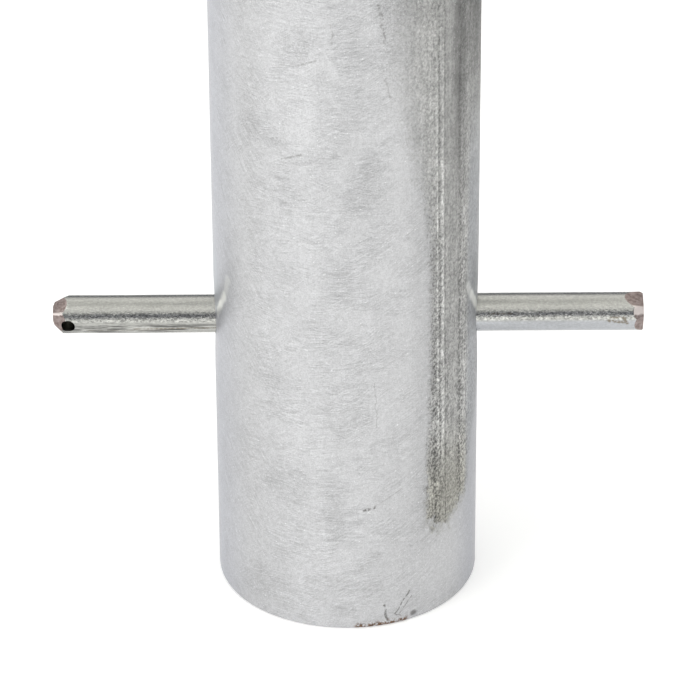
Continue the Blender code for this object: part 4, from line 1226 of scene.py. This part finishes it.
def build_head_cap(materials):
    """The cast cap: a softened disc on a spigot, with the handle's groove and the flap's pocket."""
    cap_low, cap_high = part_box("head_cap")
    cap_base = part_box("post_tube")[1].z + GAP
    spigot = POST_BORE - GAP
    through = LOCK_BODY_RADIUS + GAP
    top = cap_high.z
    outline = [
        (through, cap_low.z),
        (spigot, cap_low.z),
        (spigot, cap_base),
        (cap_high.x, cap_base),
        (cap_high.x, top),
        (through, top),
    ]
    cap = make_object("head_cap_shape", turned(rounded(outline, 1.6 * MM, 5)))
    cap_screw_places = screw_places(CAP_SCREWS, POST_RADIUS)
    cut(cap, *handle_rooms(top), *flap_rooms(top), *screw_holes(cap_screw_places))
    soften_edges(cap, 0.35 * MM)
    stands_for(cap, "head_cap", materials["cast_aluminium"])


def handle_rooms(top):
    """What the folded handle takes out of the cap: its groove, a finger pocket and its two bearings."""
    handle_at = hinge_point("lift_handle")
    above = top + 10 * MM
    groove_floor = handle_at.z - GROOVE_HALF_WIDTH
    groove = extruded(handle_outline(handle_at.y, GROOVE_HALF_WIDTH), groove_floor, above)
    pocket_y, pocket_reach, pocket_radius = -44.5 * MM, 8 * MM, 5 * MM
    finger_outline = arc((pocket_reach, pocket_y), pocket_radius, -90, 90, 24)
    finger_outline += arc((-pocket_reach, pocket_y), pocket_radius, 90, 270, 24)
    finger_pocket = extruded(finger_outline, top - 9.5 * MM, above)
    bores = []
    for side in (1, -1):
        bore = cylinder(HANDLE_RADIUS + 0.2 * MM, HANDLE_HALF_WIDTH - 3 * MM, HANDLE_STUB_END + 0.6 * MM)
        bores.append(placed(bore, handle_at, (0, side * QUARTER_TURN, 0)))
    return [groove, finger_pocket, *bores]


def flap_rooms(top):
    """What the dust flap takes out of the cap: its pocket, a notch to lift it by and its pin's room."""
    flap_at = hinge_point("dust_flap")
    above = top + 10 * MM
    room_x, room_y = KNUCKLE_HALF_WIDTH + 3 * MM, flap_at.y + 4 * MM
    outline = arc((0, 0), FLAP_RADIUS + 0.7 * MM, 122, 418, 96) + [(room_x, room_y), (-room_x, room_y)]
    pocket = extruded(outline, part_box("lock_barrel")[1].z - 2.8 * MM, above)
    notch = placed(cylinder(6 * MM, top - 3.5 * MM, above), (0, 0.5 * MM - FLAP_RADIUS, 0))
    pin_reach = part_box("flap_pin")[1].x + GAP
    pin_room = cylinder(FLAP_PIN_RADIUS + 0.2 * MM, -pin_reach, pin_reach)
    return [pocket, notch, placed(pin_room, flap_at, (0, QUARTER_TURN, 0))]


def soften_edges(obj, width):
    """A small bevel that stays on the piece as a modifier, for cast and cut edges."""
    bevel = obj.modifiers.new("soft_edges", "BEVEL")
    bevel.width = width
    bevel.segments = 2
    bevel.limit_method = "ANGLE"
    bevel.angle_limit = math.radians(50)
    bevel.use_clamp_overlap = True


def bar_along(points, radius, sides=24):
    """A round bar that follows a level path of (x, y) points at z = 0, with eased ends."""
    mesh = bmesh.new()
    path = [Vector((x, y, 0)) for x, y in points]
    directions = []
    for i in range(len(path)):
        directions.append((path[min(i + 1, len(path) - 1)] - path[max(i - 1, 0)]).normalized())
    first, last = directions[0], directions[-1]
    ease, end_share = radius * 0.15, 0.82
    stations = [(path[0], first, end_share), (path[0] + first * ease, first, 1.0)]
    stations += [(point, direction, 1.0) for point, direction in zip(path[1:-1], directions[1:-1])]
    stations += [(path[-1] - last * ease, last, 1.0), (path[-1], last, end_share)]
    rings = []
    for point, direction, share in stations:
        across = Vector((-direction.y, direction.x, 0))
        ring = []
        for step in range(sides):
            angle = math.tau * step / sides
            offset = across * math.cos(angle) + Vector((0, 0, math.sin(angle)))
            ring.append(mesh.verts.new(point + offset * radius * share))
        rings.append(ring)
    bridge(mesh, rings, capped=True)
    return mesh


def build_handle(materials):
    """The folding bail as a smooth bent bar."""
    pivot = hinge_point("lift_handle")
    corner_centre = (HANDLE_HALF_WIDTH + HANDLE_CORNER, pivot.y - HANDLE_CORNER)
    right_half = [(HANDLE_STUB_END, pivot.y), *arc(corner_centre, HANDLE_CORNER, 90, 180, 10)]
    bend = arc((0, HANDLE_BEND_Y), HANDLE_HALF_WIDTH, 0, -180, 60)
    left_half = [(-x, y) for x, y in reversed(right_half)]
    bar = bar_along(right_half + bend + left_half, HANDLE_RADIUS)
    handle = make_object("lift_handle_bar", placed(bar, (0, 0, pivot.z)))
    stands_for(handle, "lift_handle", materials["stainless_steel"])


def build_lock_barrel(materials):
    """The fixed part of the key lock, with the round recess that leads to the stud."""
    low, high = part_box("lock_barrel")
    flange, recess, bore = 2.5 * MM, 10.5 * MM, 7.4 * MM
    recess_floor = GROUND - 16 * MM
    outline = [
        (bore, low.z),
        (LOCK_BODY_RADIUS, low.z),
        (LOCK_BODY_RADIUS, high.z - flange),
        (high.x, high.z - flange),
        (high.x, high.z),
        (recess, high.z),
        (recess, recess_floor),
        (bore, recess_floor),
    ]
    turned_piece("lock_barrel", outline, 0.4 * MM, materials["stainless_steel"])


def build_key_plug(materials):
    """The plug that the key turns, with its triangular stud and the hole for the coupling pin."""
    low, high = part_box("key_plug")
    collar_top = GROUND - 12.7 * MM
    stem_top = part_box("lock_barrel")[0].z - 0.5 * MM
    stem, body, collar, collar_height = 5 * MM, 7.1 * MM, 9.8 * MM, 3 * MM
    outline = [
        (0, low.z),
        (stem, low.z),
        (stem, stem_top),
        (body, stem_top),
        (body, collar_top - collar_height),
        (collar, collar_top - collar_height),
        (collar, collar_top),
        (0, collar_top),
    ]
    plug = make_object("key_plug_shape", turned(rounded(outline, 0.3 * MM)))
    stud_corners = arc((0, 0), 6.0 * MM, 90, 330, 2)
    stud_outline = [point for corner in stud_corners for point in stud_corner(corner)]
    stud = extruded(stud_outline, collar_top - MM, high.z)
    pin_hole = placed(cylinder(1.7 * MM, -12 * MM, 12 * MM), coupling_height(), (0, QUARTER_TURN, 0))
    cut(plug, stud, operation="UNION")
    cut(plug, pin_hole)
    soften_edges(plug, 0.25 * MM)
    stands_for(plug, "key_plug", materials["stainless_steel"])


def build_flap_pin(materials):
    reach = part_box("flap_pin")[1].x
    pin = placed(cylinder(FLAP_PIN_RADIUS, -reach, reach), hinge_point("dust_flap"), (0, QUARTER_TURN, 0))
    stands_for(make_object("flap_pin_shape", pin), "flap_pin", materials["stainless_steel"])


def stud_corner(corner):
    """Points that round one corner of the triangular stud."""
    direction = math.degrees(math.atan2(corner[1], corner[0]))
    return arc(corner, 0.6 * MM, direction - 60, direction + 60, 6)


def coupling_height():
    low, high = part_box("coupling_pin_upper")
    return (0, 0, (low.z + high.z) / 2)


def build_flap(materials):
    """The round flap with a shallow dish on top and a hinge knuckle."""
    hinge_at, hinge_turn = hinge_point("dust_flap"), (0, QUARTER_TURN, 0)
    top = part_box("dust_flap")[1].z
    base = top - FLAP_THICKNESS
    outline = arc((0, 0), FLAP_RADIUS, 112, 428, 120)
    outline += [(KNUCKLE_HALF_WIDTH, hinge_at.y), (-KNUCKLE_HALF_WIDTH, hinge_at.y)]
    flap = make_object("dust_flap_shape", extruded(outline, base, top))
    knuckle = cylinder(KNUCKLE_RADIUS, -KNUCKLE_HALF_WIDTH, KNUCKLE_HALF_WIDTH)
    cut(flap, placed(knuckle, hinge_at, hinge_turn), operation="UNION")
    dish_floor, above = top - 0.5 * MM, top + MM
    dish = turned([(0, dish_floor), (12.5 * MM, dish_floor), (13.5 * MM, above), (0, above)], 96)
    pin_room = cylinder(FLAP_PIN_RADIUS + 0.2 * MM, -20 * MM, 20 * MM)
    cut(flap, dish, placed(pin_room, hinge_at, hinge_turn))
    soften_edges(flap, 0.25 * MM)
    stands_for(flap, "dust_flap", materials["stainless_steel"])


# ---------------------------------------------------------------- stage


def build_floor():
    """A plain white floor out to the horizon."""
    mesh = bmesh.new()
    bmesh.ops.create_circle(mesh, cap_ends=True, segments=96, radius=40)
    floor = make_object("floor", placed(mesh, (0, 0, -0.2 * MM)))
    g = Graph("floor_white")
    shade = g.band(g.noise(400, 2), 0.3, 0.7, 0.90, 0.92)
    g.finish(g.vector(shade, shade, shade), 0.9, 0.0)
    g.shader.inputs["Emission Color"].default_value = (1, 1, 1, 1)
    g.shader.inputs["Emission Strength"].default_value = 0.30
    floor.data.materials.append(g.material)


# The sky's colour by height, from the horizon at 0 to overhead at 1: dim low down, as walls would be
SKY = (
    (0.0, (0.12, 0.125, 0.145)),
    (0.38, (0.13, 0.135, 0.155)),
    (0.60, (0.66, 0.66, 0.64)),
    (0.74, (0.96, 0.96, 0.93)),
    (1.0, (0.80, 0.80, 0.76)),
)


def build_world():
    """Soft white light from all over the sky. The camera sees plain white instead."""
    world = bpy.data.worlds.new("studio")
    bpy.context.scene.world = world
    world.use_nodes = True
    tree = world.node_tree
    tree.nodes.clear()
    kinds = ("TexCoord", "SeparateXYZ", "ValToRGB", "LightPath")
    place, split, ramp, paths = (tree.nodes.new(f"ShaderNode{kind}") for kind in kinds)
    kinds = ("Background", "Background", "MixShader", "OutputWorld")
    light, seen, mix, out = (tree.nodes.new(f"ShaderNode{kind}") for kind in kinds)
    for i, (height, colour) in enumerate(SKY):
        element = ramp.color_ramp.elements[i] if i < 2 else ramp.color_ramp.elements.new(height)
        element.position = height
        element.color = (*colour, 1)
    light.inputs["Strength"].default_value = 1.42
    seen.inputs["Strength"].default_value = 1.2
    links = (
        (place.outputs["Generated"], split.inputs[0]),
        (split.outputs["Z"], ramp.inputs[0]),
        (ramp.outputs["Color"], light.inputs["Color"]),
        (paths.outputs["Is Camera Ray"], mix.inputs[0]),
        (light.outputs[0], mix.inputs[1]),
        (seen.outputs[0], mix.inputs[2]),
        (mix.outputs[0], out.inputs["Surface"]),
    )
    for output, target in links:
        tree.links.new(output, target)


def add_softbox(name, at, aim, size, power):
    """A large square lamp that faces a point."""
    lamp = bpy.data.lights.new(name, "AREA")
    lamp.shape = "SQUARE"
    lamp.size = size
    lamp.energy = power
    obj = bpy.data.objects.new(name, lamp)
    obj.location = at
    obj.rotation_mode = "QUATERNION"
    obj.rotation_quaternion = (Vector(aim) - Vector(at)).to_track_quat("-Z", "Y")
    bpy.context.scene.collection.objects.link(obj)


def build_camera():
    """A long lens that looks down at the foot of the tube from the front."""
    azimuth, elevation, roll = (math.radians(a) for a in (-0.1145, 29.6393, -0.2944))
    distance = 1.41763
    target_right, target_up = 1.263 * MM, 83.441 * MM
    back = Vector(
        (
            math.sin(azimuth) * math.cos(elevation),
            -math.cos(azimuth) * math.cos(elevation),
            math.sin(elevation),
        )
    )
    right = Vector((math.cos(azimuth), math.sin(azimuth), 0))
    up = back.cross(right)
    rolled_right = right * math.cos(roll) + up * math.sin(roll)
    rolled_up = back.cross(rolled_right)
    data = bpy.data.cameras.new("camera")
    data.sensor_width = 36
    data.lens = 215.04
    data.clip_start, data.clip_end = 0.05, 100
    camera = bpy.data.objects.new("camera", data)
    at = right * target_right + Vector((0, 0, target_up)) + back * distance
    facing = Matrix((rolled_right, rolled_up, back)).transposed().to_4x4()
    camera.matrix_world = Matrix.Translation(at) @ facing
    bpy.context.scene.collection.objects.link(camera)
    bpy.context.scene.camera = camera


def build_stage():
    scene = bpy.context.scene
    scene.view_settings.view_transform = "Standard"
    build_floor()
    build_world()
    add_softbox("softbox_left", (-2.2, -1.6, 2.6), (0, 0, 0.3), 2.0, 30)
    build_camera()


# ---------------------------------------------------------------- the whole bollard


def make_materials():
    return {
        "galvanised_tube": galvanised_tube_material(),
        "zinc_plated_bar": zinc_plated_bar_material(),
        "sheared_steel": sheared_steel_material(),
        "galvanised_steel": galvanised_material(),
        "bright_zinc": zinc_plated_material(),
        "stainless_steel": plain_metal("stainless_steel", (0.56, 0.56, 0.55), 0.26),
        "cast_aluminium": plain_metal("cast_aluminium", (0.60, 0.61, 0.62), 0.42, 0.9),
        "brass": plain_metal("brass", (0.72, 0.53, 0.25), 0.3),
        "black_nylon": soft_black("black_nylon", (0.020, 0.020, 0.021), 0.5, 0.5),
        "black_rubber": soft_black("black_rubber", (0.016, 0.016, 0.016), 0.75, 0.8),
        "red_reflective_film": reflective_film_material(),
    }


def dress_cad_nodes(materials):
    """Gives each CAD node the material of its slot."""
    for entry in frame["record"]["subparts"]:
        data = frame["nodes"][entry["node"]].data
        data.materials.clear()
        data.materials.append(materials[entry["material_slot"]])


materials = make_materials()
dress_cad_nodes(materials)
build_ground_tube(materials)
build_anchor_rod(materials)
build_frame(materials)
build_guide(materials)
build_post(materials)
build_guide_shoe(materials)
build_head_cap(materials)
build_handle(materials)
build_lock_barrel(materials)
build_key_plug(materials)
build_flap_pin(materials)
build_flap(materials)
build_screws(materials)
build_stage()
